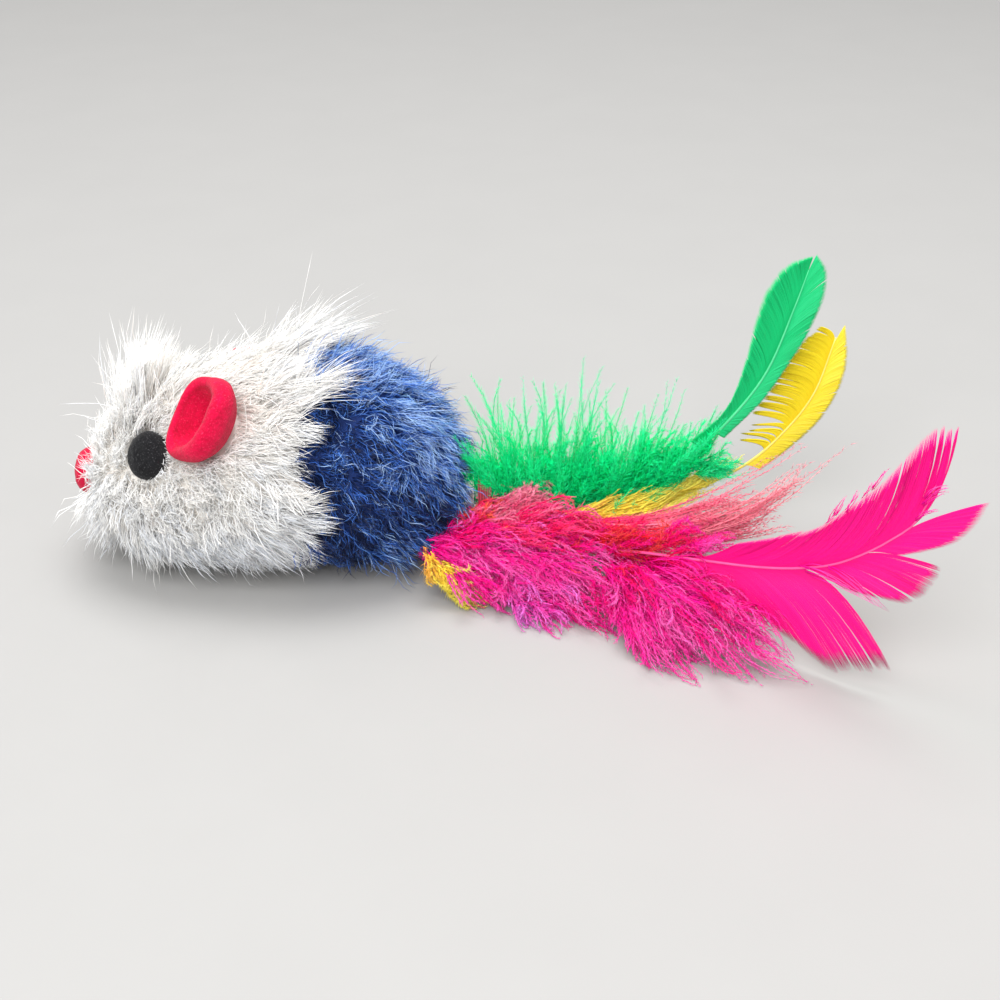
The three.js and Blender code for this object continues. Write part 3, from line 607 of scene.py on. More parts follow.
def lockTable(settings, weightAt, dice):
    # roots and combing of the locks: the field at each root, with its own jitter and a slow wandering
    swing, turn = coatRoots(settings["locks"], weightAt, dice)
    x = coatPoint(swing, turn)[..., 0]
    length, lean, lift, row, curl = fieldAt(settings["tufts"], x, turn, settings["base"])

    def jitter(measure):
        own, shared, size = lockDrift[measure]
        return settings["jitter"][measure] * (own * dice.normal(size=len(x)) + shared * drift(x, turn, size, dice))

    lean = lean + jitter("lean")
    lift = lift * np.exp(jitter("lift"))
    length = length * np.clip(1 + jitter("length"), 0.5, 1.6)
    row = row + jitter("row")
    return swing, turn, np.stack([length, lean, np.maximum(lift, 0.06), row, curl])


# how far a hair rises from the coat by itself and by its lift, how it sags, and where its root lies
combing = {"rise": 0.3, "leave": 1.6, "onward": 0.9, "sag": 0.1, "rootDepth": 0.25}


def combed(swing, turn, values):
    # root, elbow and tip: a hair leaves along normal * lift + comb and ends along the comb, which
    # leans from straight back toward down the side
    place, out, back, down = coatFrame(swing, turn)
    length, lean, lift = values[:3]
    lean = np.radians(lean)
    comb = unit(np.cos(lean)[:, None] * back + np.sin(lean)[:, None] * down)
    leave = unit(out * (combing["rise"] + combing["leave"] * lift)[:, None] + comb)
    onward = unit(out * (combing["onward"] * lift)[:, None] + comb - [0, 0, combing["sag"]])
    elbow = place + leave * (0.5 * length)[:, None]
    return place - out * combing["rootDepth"], elbow, elbow + onward * (0.5 * length)[:, None]


# the cells that hair is spread over, the step of their measuring, and what is left out at the poles
cells = {"rings": 260, "sides": 240, "step": 0.005, "poleGap": 0.01}


def coatRoots(count, weightAt, dice):
    # swings and turns spread over the coat, each cell drawn by its area times the weight there
    step, pole = cells["step"], math.pi / 2 - cells["poleGap"]
    swing = np.linspace(-math.pi / 2, math.pi / 2, cells["rings"] + 1)
    turn = np.linspace(-math.pi, math.pi, cells["sides"] + 1)
    a, b = np.meshgrid((swing[1:] + swing[:-1]) / 2, (turn[1:] + turn[:-1]) / 2, indexing="ij")
    alongRing = coatPoint(a + step, b) - coatPoint(a - step, b)
    alongSide = coatPoint(a, b + step) - coatPoint(a, b - step)
    area = np.linalg.norm(np.cross(alongRing, alongSide), axis=-1)
    weight = (area * weightAt(coatPoint(a, b)[..., 0], b)).ravel()
    cell = dice.choice(weight.size, size=count, p=weight / weight.sum())
    a = a.ravel()[cell] + (dice.random(count) - 0.5) * math.pi / cells["rings"]
    b = b.ravel()[cell] + (dice.random(count) - 0.5) * 2 * math.pi / cells["sides"]
    return np.clip(a, -pole, pole), b


# how hairs differ from their lock: some are short, all vary, and strays are longer and less combed
hairs = {"shortShare": 0.3, "short": 0.6, "vary": 0.15, "strayLength": 1.15, "lean": 7, "strayLean": 30,
         "strayLift": 1.8, "elbowShare": 0.6, "elbowApart": 0.8, "tipApart": 0.2, "curlReach": 0.45, "rest": 0.12,
         "turns": (0.7, 0.8), "thick": (0.7, 0.6)}


def growHair(count, settings, weightAt, dice):
    # every hair takes the combing of its nearest lock, and its tip is drawn toward that lock's tip
    lockSwing, lockTurn, lockValues = lockTable(settings, weightAt, np.random.default_rng(settings["seed"]))
    lockRoot, lockElbow, lockTip = combed(lockSwing, lockTurn, lockValues)
    swing, turn = coatRoots(count, weightAt, dice)
    near = np.concatenate([np.argmin(((part[:, None] - lockRoot[None])**2).sum(-1), axis=1)
                           for part in np.array_split(coatPoint(swing, turn), max(1, count // 2000))])
    stray = dice.random(count) < settings["strays"]
    values = lockValues[:, near]
    values[0] *= (np.where(dice.random(count) < hairs["shortShare"], hairs["short"], 1)
                  * (1 + hairs["vary"] * dice.normal(size=count)) * np.where(stray, hairs["strayLength"], 1))
    values[1] += np.where(stray, hairs["strayLean"], hairs["lean"]) * dice.normal(size=count)
    values[2] *= np.where(stray, hairs["strayLift"], 1) * np.exp(hairs["vary"] * dice.normal(size=count))
    root, elbow, tip = combed(swing, turn, values)
    share = settings["gather"] * dice.random(count)**0.5 * ~stray
    apart = root - lockRoot[near]
    elbow = elbow + (share * hairs["elbowShare"])[:, None] * (lockElbow[near] + apart * hairs["elbowApart"] - elbow)
    tip = tip + share[:, None] * (lockTip[near] + apart * hairs["tipApart"] - tip)
    s = np.linspace(0, 1, settings["steps"])
    paths = bent(root, elbow, tip, len(s))
    phase = 2 * math.pi * dice.random((2, count, 1))
    swirl = unit(np.cross(tip - root, dice.normal(size=(count, 3))))
    other = unit(np.cross(tip - root, swirl))
    wave = (values[4] * hairs["curlReach"])[:, None] * s * (1.4 - s * 0.4)
    turns = 2 * math.pi * spreadOver(hairs["turns"], dice, (count, 1))
    paths = paths + (wave * np.sin(turns * s + phase[0]))[..., None] * swirl[:, None]
    paths = paths + (wave * np.cos(turns * s + phase[1]))[..., None] * other[:, None]
    paths[..., 2] = np.maximum(paths[..., 2], hairs["rest"])
    return paths, values[3]


spareHair = 1.12  # so many hairs are grown for each that is kept, since the felt's places lose theirs


def growCoat(name, settings, weightAt, material):
    # pieces of hair that together make one coat, without the hairs that would cross the felt
    wanted = settings["perPiece"]
    for number in range(1, settings["pieces"] + 1):
        dice = np.random.default_rng(settings["seed"] + number)
        paths, row = growHair(int(wanted * spareHair), settings, weightAt, dice)
        keep = np.flatnonzero(clearOfTrim(paths))[:wanted]
        paths, row = paths[keep], row[keep]
        row = np.clip(row + settings["fleck"] * dice.normal(size=len(row)), 0, np.clip(row, settings["palest"], 1))
        thick = settings["radius"] * spreadOver(hairs["thick"], dice, len(paths))
        points, faces, uvs = hairForm(paths, thick, row, dice, settings["taper"])
        makePiece(f"{name}_{number}", points, faces, material, "mouse", uvs=uvs)
        print(name, number, len(faces))


# how far ahead of the cloth's seam the hair changes, and the waves there: size, turn and spread
seamShape = {"ahead": 1.5, "waves": [(1.6, 20, 16), (1.4, 92, 22)]}


def seamWave(turn):
    # the seam wanders fore and aft round the waist: x = place - ahead + the sum of the bells
    t = np.degrees(wrapped(turn))
    x = seamPlace - seamShape["ahead"]
    for size, middle, wide in seamShape["waves"]:
        x = x + size * np.exp(-((t - middle) / wide)**2)
    return x


def bothSides(place, *rest):
    # a tuft and its mirror on the other side
    return (place, *rest), ((place[0], -place[1]), *rest)


# each tuft: place (x, turn), spread, strength, then length, lean, lift, row, curl
whiteCoat = {
    "base": (5.4, 18, 0.35, 0.42, 0.8),
    "tufts": [
        ((-26, 0), (4.4, 60), 15, 2.9, 10, 0.36, 0.5, 1.0),
        *bothSides((-25, 120), (6, 40), 8, 5.5, 120, 0.8, 0.3, 0.5),
        ((-21.2, -3), (1.4, 22), 16, 8.4, -4, 0.4, 0.5, 0.4),
        ((-18.3, -4), (2.2, 27), 18, 10.0, -4, 0.8, 0.5, 0.4),
        ((-16.5, 38), (4, 13), 10, 4.4, -30, 0.4, 0.5, 0.9),
        ((-13.5, -10), (3.4, 30), 14, 4.2, 5, 0.22, 0.55, 0.7),
        ((-8, -16), (5.2, 32), 16, 3.6, 5, 0.1, 0.6, 0.6),
        ((-6, -48), (5, 14), 14, 6.5, 0, 0.7, 0.5, 0.5),
        ((2.0, -26), (4.2, 17), 12, 10.8, 0, 0.25, 0.45, 0.25),
        ((5, 3), (4, 8), 16, 3.4, 0, 0.12, 0.5, 0.5),
        ((5, 24), (4, 10), 16, 11, -6, 0.2, 0.5, 0.25),
        ((2, 54), (6, 22), 5, 5.4, 10, 0.26, 0.4, 0.5),
        ((4, 86), (4, 8), 7, 7.6, 2, 0.2, 0.35, 0.4),
        ((-3, 36), (4, 14), 5, 4.8, 20, 0.3, 0.95, 0.9),
        ((-13, 78), (9, 22), 8, 3.6, 30, 0.6, 0.45, 2.0),
        # the low flanks and the belly take grey rows near 0, painted shade
        *bothSides((-8, 108), (12, 14), 8, 5.0, 36, 0.08, 0.12, 0.5),
        *bothSides((0, 180), (60, 36), 12, 2.6, 30, 0.04, 0.1, 0.4),
    ],
    "jitter": {"lean": 24, "lift": 0.4, "length": 0.2, "row": 0.12}, "fleck": 0.14, "palest": 0.88,
    "pieces": 4, "perPiece": 6900, "radius": 0.057, "taper": 0.4, "locks": 1400, "gather": 0.62,
    "strays": 0.14, "steps": 5, "seed": 100,
}
blueCoat = {
    "base": (4.4, 20, 0.4, 0.32, 1.3),
    "tufts": [
        # the top and the right take paler rows and the low flanks darker ones: partly the dye, partly painted top
        # light and shade; the teal tuft under the rump is the dye
        ((14, -22), (10, 32), 7, 4.2, 0, 0.45, 0.66, 1.2),
        ((11, 46), (5, 14), 6, 3.4, 30, 0.25, -0.05, 1.2),
        ((18, 64), (8, 16), 4, 4.2, 40, 0.3, 0.24, 1.5),
        ((14, 98), (12, 24), 10, 3.8, 46, 0.2, -0.25, 1.3),
        ((20.5, 116), (3.5, 12), 20, 5.5, 60, 0.4, 1.05, 0.8),
        ((24, 50), (5, 44), 5, 4.8, 60, 0.4, 0.74, 1.0),
        *bothSides((0, 180), (60, 36), 12, 2.4, 30, 0.04, 0.2, 0.8),
    ],
    # a wide fleck puts the pale rows, painted glints, on single hairs
    "jitter": {"lean": 42, "lift": 0.5, "length": 0.25, "row": 0.26}, "fleck": 0.34, "palest": 0.88,
    "pieces": 3, "perPiece": 5350, "radius": 0.055, "taper": 0.4, "locks": 620, "gather": 0.6,
    "strays": 0.16, "steps": 5, "seed": 200,
}


# place, spread and how much thicker the white pile is, on the crest and on the tuft of the back
thicker = [((-19.5, -3), (3, 28), 0.9), ((2, -26), (4.5, 18), 1.5)]
thinBelly = {"turn": 140, "share": 0.55}


def whiteWeight(x, turn):
    # 1 + the sum of how much thicker * bell, ahead of the seam, and less on the belly
    t = np.degrees(wrapped(turn))
    weight = 1
    for place, spread, more in thicker:
        weight = weight + more * bell(x, t, place, spread)
    return (x < seamWave(turn)) * weight * np.where(np.abs(t) > thinBelly["turn"], thinBelly["share"], 1)


def blueWeight(x, turn):
    # even behind the seam, and none round the neck of the plug
    y, z = np.moveaxis(coatPoint(swingAt(x), turn), -1, 0)[1:]
    atNeck = (x >= tail["neckStart"]) & (np.hypot(y, z - tail["height"]) <= tail["neckRoom"])
    return ((x >= seamWave(turn)) & ~atNeck) * 1.0


growCoat("white_pile", whiteCoat, whiteWeight, whitePile)
growCoat("blue_pile", blueCoat, blueWeight, bluePile)


# felt eyes, nose and ears

pinkFelt = feltMaterial("pink felt", (164, 0, 40), (226, 6, 70), (250, 84, 122))
blackFelt = feltMaterial("black felt", (6, 6, 8), (30, 30, 33), (110, 110, 112))


def bumpy(theta, r, size, seed):
    # a few crossing waves, for an edge and a face that were cut and pressed by hand
    dice = np.random.default_rng(seed)
    total = np.zeros(np.broadcast(theta, r).shape)
    for order in range(2, 9):
        a, b = 2 * math.pi * dice.random(2)
        total = total + np.sin(order * theta + a) * np.cos(order * 1.3 * r + b) / order
    return size * total


def gridFaces(rows, columns):
    # the faces of a grid that closes round its columns
    row, column = np.meshgrid(np.arange(rows - 1), np.arange(columns), indexing="ij")
    after = (column + 1) % columns
    return np.stack([row * columns + column, row * columns + after,
                     (row + 1) * columns + after, (row + 1) * columns + column], axis=-1).reshape(-1, 4)


def cappedForm(rings):
    # rings of points from one end to the other, each end closed by a small ring drawn to its middle,
    # and all faces turned over if they enclose a negative volume
    first, last = rings[:1].mean(axis=1, keepdims=True), rings[-1:].mean(axis=1, keepdims=True)
    rings = np.concatenate([first + (rings[:1] - first) * 0.02, rings, last + (rings[-1:] - last) * 0.02])
    points, faces = rings.reshape(-1, 3), gridFaces(*rings.shape[:2])
    a, b, c, d = (points[faces[:, k]] for k in range(4))
    volume = (np.sum(a * np.cross(b, c), axis=1) + np.sum(a * np.cross(c, d), axis=1)).sum()
    return points, faces if volume > 0 else faces[:, ::-1]


# the section of a felt oval, as shares of its radius and thickness, how uneven the felt is,
domeProfile = np.array([[0.02, -1], [0.5, -1], [0.86, -1], [0.96, -0.8], [1, -0.45], [0.99, -0.1], [0.95, 0.2],
                        [0.86, 0.48], [0.72, 0.7], [0.52, 0.87], [0.28, 0.97], [0.1, 1], [0.02, 1]])
# and how much the ear's rim rolls everywhere, how much more at the rear, and how its rear swells
earRear = {"everywhere": 0.3, "behind": 0.8, "swell": 0.25}
uneven = {"domeRim": 0.03, "domeFace": 0.09, "earRim": 0.025, "earFace": 0.08, "earSquare": 0.06}


def domeForm(size, trim, seed):
    # a felt oval: radius and height follow a dome profile with a turned edge
    theta = np.linspace(0, 2 * np.pi, 72, endpoint=False)
    t, fine = np.linspace(0, 1, len(domeProfile)), np.linspace(0, 1, 40)
    r, h = (np.interp(fine, t, domeProfile[:, k])[:, None] for k in (0, 1))
    edge = 1 + bumpy(theta, r * 0, uneven["domeRim"], seed)
    face = bumpy(theta, 4 * r, uneven["domeFace"], seed + 1) * (r < 0.98)
    local = np.stack([size["wide"] / 2 * r * np.cos(theta) * edge, size["high"] / 2 * r * np.sin(theta) * edge,
                      size["thick"] * h + face], axis=-1)
    place, rows = trim
    return place + local @ rows


def earForm(side, seed):
    # a felt oval pressed into a cup: depth = depth * (share^2 - 1); the edge turns over in a half
    # circle, which is widest at the rear
    theta = np.linspace(0, 2 * np.pi, 96, endpoint=False)
    rear = np.clip(earRear["everywhere"] - earRear["behind"] * side * np.sin(theta), 0, 1)
    edge = 1 + bumpy(theta, np.zeros((1, 1)), uneven["earRim"], seed)
    down = np.linspace(0.02, 1, 26)[:, None]
    up, over = down[::-1], np.linspace(0, np.pi, 10)[1:-1, None]
    inward = (ear["wall"] + ear["roll"] * rear) / (ear["width"] / 2)
    cup = ear["depth"] * (1 + earRear["swell"] * rear * down**2) * (down**2 - 1)
    share = np.concatenate([down + 0 * theta, 1 - inward * (1 - np.cos(over)) / 2, up * (1 - inward * up**0.5)])
    depth = np.concatenate([cup, (0.5 * ear["wall"] + ear["roll"] * rear) * np.sin(over),
                            cup[::-1] + ear["wall"] * (1 - up**3)])
    depth = depth + bumpy(theta, share * 3, uneven["earFace"], seed + 2)
    square = 1 + uneven["earSquare"] * np.cos(4 * theta + 0.6)
    local = np.stack([ear["width"] / 2 * share * np.sin(theta) * edge / square,
                      ear["height"] / 2 * share * np.cos(theta) * edge / square, depth], axis=-1)
    place, rows = earFrame(side)
    return place + local @ rows


def makeFelt(node, rings, material):
    # the felt that stands for one node
    points, faces = cappedForm(rings)
    makePiece(f"{node}_felt", points, faces, material, "mouse", (node,))


for side, name in ((-1, "left"), (1, "right")):
    makeFelt(f"{name}_eye", domeForm(eye, eyeFrame(side), 11 + side), blackFelt)
    makeFelt(f"{name}_ear", earForm(side, 21 + side), pinkFelt)
makeFelt("nose", domeForm(nose, noseFrame(), 31), pinkFelt)
print("felt done")


# the long feathers: quill, vane and down

feathers = {
    "green": {"seed": 35, "thick": 0.34, "bend": (40.0, -1.5, 9.4), "heading": 0, "reach": 38.1, "rise": 37.5,
     "quill": [(0, 0), (0.18, 0.003), (0.37, 0.056), (0.52, 0.16), (0.664, 0.323), (0.806, 0.544), (0.892, 0.82),
     (0.93, 0.97)]},
    "yellow": {"seed": 42, "thick": 0.34, "bend": (40.0, 2.7, 7.4), "heading": 0, "reach": 43.0, "rise": 28.6,
     "quill": [(0, 0), (0.14, -0.042), (0.279, -0.056), (0.419, -0.02), (0.686, 0.189), (0.812, 0.385), (0.9, 0.6),
     (0.955, 0.92)]},
    "pink": {"seed": 28, "thick": 0.26, "bend": (41.0, -7.5, 6.4), "heading": -34.2, "reach": 60.7, "rise": 35.0,
     "quill": [(0, 0), (0.055, 0.009), (0.243, 0.092), (0.396, 0.152), (0.541, 0.212), (0.633, 0.267), (0.71, 0.334),
     (0.786, 0.442), (0.831, 0.525), (0.862, 0.59), (0.89, 0.72), (0.908, 0.873)]},
}


def headed(heading):
    # the level directions along a heading and across it
    h = math.radians(heading)
    return np.array([math.cos(h), math.sin(h), 0]), np.array([math.sin(h), -math.cos(h), 0])


def uprightPlane(feather):
    # the rule that places shares of a feather's reach and rise in its own plane, and the plane's face
    onward, face = headed(feather["heading"])

    def place(shares):
        shares = np.asarray(shares, float)
        return (np.array(feather["bend"]) + onward * shares[:, :1] * feather["reach"]
                + np.array([0, 0, feather["rise"]]) * shares[:, 1:2])
    return place, face


def barbPaths(quill, edge, span, shares, pull, face, web, steps):
    # barbs leave the quill at the span's shares, sweep out and end short of the edge by the pull
    at = np.interp(shares, np.linspace(0, 1, len(span)), span)
    base = lineAt(quill, at)
    full = lineAt(edge, shares)
    end = base + (full - base) * (1 - pull)[:, None]
    onward = unit(lineAt(quill, at + 0.01) - lineAt(quill, at - 0.01))
    size = np.linalg.norm(end - base, axis=1, keepdims=True)
    paths = bent(base, base + onward * size * web["lead"], end, steps)
    s = np.linspace(0, 1, steps)
    return paths + (web["camber"] * s * (s - 0.5))[:, None] * face


def gatheredShares(count, groups, dice):
    # each barb's share, its group's middle, a random number of the group, and half the group's width
    cuts = np.sort(dice.random(groups - 1) * 0.5 + np.arange(1, groups) - 0.25) / groups
    shares = (np.arange(count) + 0.5) / count
    group = np.searchsorted(cuts, shares)
    ends = np.concatenate([[0], cuts, [1]])
    low, high = ends[group], ends[group + 1]
    return shares, (low + high) / 2, dice.random(groups)[group], (high - low) / 2


# what a web of the vane has where its own row says nothing else
vaneStyle = {"lead": 0.35, "camber": 0, "row": 0.4, "fray": 5, "spread": 0.3, "fingers": [(0, 1), (1, 1)],
             "rag": 0.008, "loose": 0.03, "tipWidth": 0.9, "thick": 0.03, "tilt": 0.14, "steps": 10}


def vaneForm(quill, face, web, dice):
    # barbs side by side as overlapping flat strips; at their ends each group draws together into a
    # point and falls short of the edge by its own amount: split = how far it draws, fray = how far
    # from the tips that starts
    steps = web["steps"]
    shares, middle, groupDice, halfGroup = gatheredShares(web["barbs"], web["groups"], dice)
    edge = smoothLine(web["edge"], even=False)
    finger = np.interp(shares, *np.array(web["fingers"], float).T)
    pull = finger * (web["notch"] * groupDice + web["tooth"] * np.abs(shares - middle) / halfGroup)
    pull = pull + web["rag"] * np.abs(dice.normal(size=len(shares)))
    gathered = shares + (middle - shares) * np.minimum(web["split"] * finger, 0.95)
    s = np.linspace(0, 1, steps)[:, None]
    straight = barbPaths(quill, edge, web["span"], shares, pull, face, web, steps)
    drawn = barbPaths(quill, edge, web["span"], gathered, pull, face, web, steps)
    paths = straight + (drawn - straight) * s**web["fray"]
    paths = paths + face * (dice.normal(size=(len(shares), 1, 1)) * web["loose"] * s**2)
    paths = paths + face * (web["spread"] * (groupDice - 0.5)[:, None, None] * s**2)
    tangent = tangentsOf(paths)
    across = unit(np.cross(face, tangent) + face * (web["tilt"] + 0.05 * dice.normal(size=(len(shares), 1, 1))))
    spacing = np.linalg.norm(np.gradient(straight, axis=0), axis=2)
    lay = np.abs(np.sum(unit(np.gradient(straight, axis=0)) * across, axis=2))
    narrowing = np.append(np.linspace(1.1, web["tipWidth"], steps - 1), 0.4)
    halfWidth = np.maximum(spacing * np.maximum(lay, 0.15) * narrowing, web["thick"])
    rows = web["row"] + 0.07 * dice.normal(size=len(shares)) + 0.12 * (groupDice - 0.5)
    return stripForm(paths, across, np.cross(tangent, across), halfWidth, np.full_like(halfWidth, web["thick"]), rows)


# what a web of down has where its own row says nothing else, and what the clumps of the plumes have
downStyle = {"thick": 0.08, "fine": 0.06, "angle": 0.6, "flat": 0.8, "fade": 0.6, "shed": 0.0, "run": 1.0, "fan": 1.0,
             "sway": 0.1, "curl": 0.3, "locked": 0.75, "steps": 6, "bare": 0.05, "short": 1.6, "shade": 0.12}
clumpStyle = {**downStyle, "hairs": 26, "hairLength": 1.3, "ragged": 0.3, "shed": 0.64, "run": 0.45, "curl": 0.25,
              "locked": 0.87, "fan": 1.35, "angle": 0.5}
locksEach = 20  # the most locks that a tuft gathers in
# how a tuft's barbs stray along it, and their waves; then how its fine hairs differ
barbWays = {"start": 0.06, "root": 0.5, "own": 0.7, "wave": (0.5, 1), "turns": (0.6, 0.9), "phase": 6.28, "row": 0.6}
fineWays = {"angle": (0.75, 0.5), "length": (0.55, 0.8), "wholeFrom": 3, "least": 0.4, "row": 0.06, "taper": 0.5}


def tuftTable(web):
    # rows of root, tip, spreads, barbs, row and bow: a web may give one y for all its tufts, and it
    # gives the bow of those that name none
    rows = [(row[0], web["y"], *row[1:3], web["y"], *row[3:]) if "y" in web else row for row in web["tufts"]]
    return np.array([(*row, web["bow"])[:11] for row in rows], float)


def tuftPaths(table, web, dice):
    # barbs run from a ball round their tuft's root to a ball round its tip, through a middle raised
    # by the tuft's bow; they gather in locks, which share part of their way, and each one curls;
    # shed = over how much of the tuft's length they leave it, run = how much of it each one covers
    tuft = np.repeat(np.arange(len(table)), table[:, 8].astype(int))
    count = len(tuft)
    root, tip = table[tuft, 0:3], table[tuft, 3:6]
    rootSpread, tipSpread, barbs, row, bow = table[tuft, 6:11].T
    lock = tuft * locksEach + (dice.random(count) * np.clip(barbs / 4, 1, locksEach - 1)).astype(int)
    lockWay = dice.normal(size=(locksEach * len(table), 4))[lock]
    leave = dice.random(locksEach * len(table))[lock] * web["shed"]
    locked = web["locked"]
    loose = math.sqrt(1 - locked**2)
    ownWay = dice.normal(size=(count, 3))
    whole = tip - root
    tip = root + whole * np.minimum(leave + web["run"], 1)[:, None]
    root = root + whole * np.clip(leave + barbWays["start"] * dice.normal(size=count), 0, 1)[:, None]
    near = barbWays["root"]
    root = root + rootSpread[:, None] * (near * locked * lockWay[:, :3] + near * dice.normal(size=(count, 3)))
    tip = tip + web["fan"] * tipSpread[:, None] * (locked * lockWay[:, :3] + barbWays["own"] * loose * ownWay)
    tip = tip - (tip - root) * (web["ragged"] * dice.random(count)**web["short"])[:, None]
    size = np.linalg.norm(tip - root, axis=1, keepdims=True)
    middle = (root + tip) / 2 + 2 * size * (bow[:, None] * np.array([0, 0, 1]) + web["sway"] * (
        locked * np.roll(lockWay[:, :3], 1, axis=1) + loose * dice.normal(size=(count, 3))))
    s = np.linspace(0, 1, web["steps"])
    paths = bent(root, middle, tip, len(s))
    swirl = unit(np.cross(tip - root, dice.normal(size=(count, 3))))
    wave = web["curl"] * spreadOver(barbWays["wave"], dice, (count, 1)) * s
    turns = 2 * math.pi * spreadOver(barbWays["turns"], dice, (count, 1))
    phase = barbWays["phase"] * dice.random((count, 1))
    paths = paths + (wave * np.sin(turns * s + phase))[..., None] * swirl[:, None]
    rows = row + web["shade"] * (lockWay[:, 3] + barbWays["row"] * dice.normal(size=count))
    return paths, rows


floorRoom = {"barb": 0.25, "hair": 0.1}  # how high the down stays above the floor


def downForm(paths, rows, web, dice):
    # each barb as a fine hair, set with short finer hairs that leave it at a slant, a little more
    # often to its two sides than to the front
    count, steps = paths.shape[:2]
    paths[..., 2] = np.maximum(paths[..., 2], floorRoom["barb"])
    size = np.linalg.norm(paths[:, -1] - paths[:, 0], axis=1)[:, None, None]
    barbs = hairForm(paths, np.full(count, web["thick"]), rows, dice, fineWays["taper"])
    hairs, bare = web["hairs"], web["bare"]
    at = bare + (0.99 - bare) * (np.arange(hairs) + dice.random((count, hairs))) / hairs
    low = np.minimum((at * (steps - 1)).astype(int), steps - 2)
    blend = (at * (steps - 1) - low)[..., None]
    row = np.arange(count)[:, None]
    start = paths[row, low] * (1 - blend) + paths[row, low + 1] * blend
    along = unit(paths[row, low + 1] - paths[row, low])
    flat = unit(np.cross(web["face"], along)) * np.where(np.arange(hairs) % 2, -1, 1)[:, None]
    way = unit(unit(np.cross(along, dice.normal(size=(count, hairs, 3)))) + flat * web["flat"])
    angle = web["angle"] * spreadOver(fineWays["angle"], dice, (count, hairs, 1))
    length = web["hairLength"] * (1.05 - web["fade"] * at[..., None])
    length = length * spreadOver(fineWays["length"], dice, (count, hairs, 1))
    length = length * np.clip(size / fineWays["wholeFrom"], fineWays["least"], 1)
    end = start + (along * np.cos(angle) + way * np.sin(angle)) * length
    end[..., 2] = np.maximum(end[..., 2], floorRoom["hair"])
    hairRows = np.repeat(rows, hairs) + fineWays["row"] * dice.normal(size=count * hairs)
    fine = spikeForm(start.reshape(-1, 3), end.reshape(-1, 3), web["fine"], 0.9 * at.ravel(), hairRows, dice)
    return joinForms([barbs, fine])


def quillForm(line, startRadius, endRadius, steps=40, sides=8):
    # a round tapering shaft carried along the line, closed at both ends
    centre = lineAt(line, np.linspace(0, 1, steps))
    tangent = tangentsOf(centre[None])[0]
    across = unit(np.cross(tangent, [0.0, 1.0, 0.2]))
    up = np.cross(tangent, across)
    turn = np.linspace(0, 2 * np.pi, sides, endpoint=False)
    radius = np.linspace(startRadius, endRadius, steps)[:, None, None]
    ring = np.cos(turn)[:, None] * across[:, None] + np.sin(turn)[:, None] * up[:, None]
    return cappedForm(centre[:, None] + radius * ring)


greenVane = vaneMaterial("green vane", {0: (0, 150, 84), 1: (8, 186, 110)},
                         {0: (4, 180, 102), 0.5: (16, 200, 120), 1: (60, 222, 150)})
greenDown = downMaterial("green down", {0: (0, 184, 104), 0.5: (0, 228, 130), 1: (0, 234, 140)},
                         {0: (0, 220, 126), 0.5: (0, 252, 156), 1: (60, 246, 172)})
yellowVane = vaneMaterial("yellow vane", {0: (226, 190, 20), 1: (238, 212, 40)},
                          {0: (226, 200, 20), 0.5: (242, 220, 36), 1: (250, 236, 90)})
yellowDown = downMaterial("yellow down", {0: (255, 160, 84), 0.5: (255, 214, 60), 1: (255, 240, 90)},
                          {0: (255, 186, 104), 0.5: (255, 232, 84), 1: (255, 250, 120)}, reach=0.7)
pinkVane = vaneMaterial("pink vane", {0: (226, 0, 112), 1: (242, 12, 140)},
                        {0: (232, 0, 118), 0.5: (246, 8, 140), 1: (250, 70, 168)})
# the deep red of rows 0 to 0.15 is partly the down's own deeper dye and partly painted shade round the root of the
# pink quill
pinkDown = downMaterial("pink down", {0: (252, 24, 44), 0.15: (232, 0, 66), 0.5: (255, 0, 146), 1: (255, 16, 172)},
                        {0: (255, 96, 84), 0.15: (250, 10, 92), 0.5: (255, 36, 166), 1: (255, 116, 200)})
paleDown = downMaterial("pale pink down", {0: (250, 10, 100), 0.5: (255, 80, 130), 1: (250, 120, 150)},
                        {0: (255, 60, 130), 0.5: (255, 134, 160), 1: (255, 164, 174)}, gloss=0.25)
# the deep red of rows 0 to 0.15 is partly the down's own deeper dye and partly painted shade low in the clump by the
# tail's root
upperDown = downMaterial("upper pink down",
                         {0: (246, 20, 56), 0.15: (240, 0, 84), 0.5: (255, 16, 124), 1: (250, 104, 150)},
                         {0: (255, 130, 80), 0.15: (255, 44, 110), 0.5: (255, 84, 156), 1: (255, 160, 182)})
violetDown = downMaterial("violet down", {0: (255, 6, 134), 0.5: (242, 44, 172), 1: (222, 90, 212)},
                          {0: (255, 50, 165), 0.5: (246, 104, 206), 1: (230, 152, 240)})
shaftMaterials = {
    "green": plainMaterial("green shaft", (40, 200, 130), (110, 232, 170), 0.4),
    "yellow": plainMaterial("yellow shaft", (240, 210, 70), (255, 240, 140), 0.4),
    "pink": plainMaterial("pink shaft", (236, 50, 130), (255, 110, 175), 0.4),
}

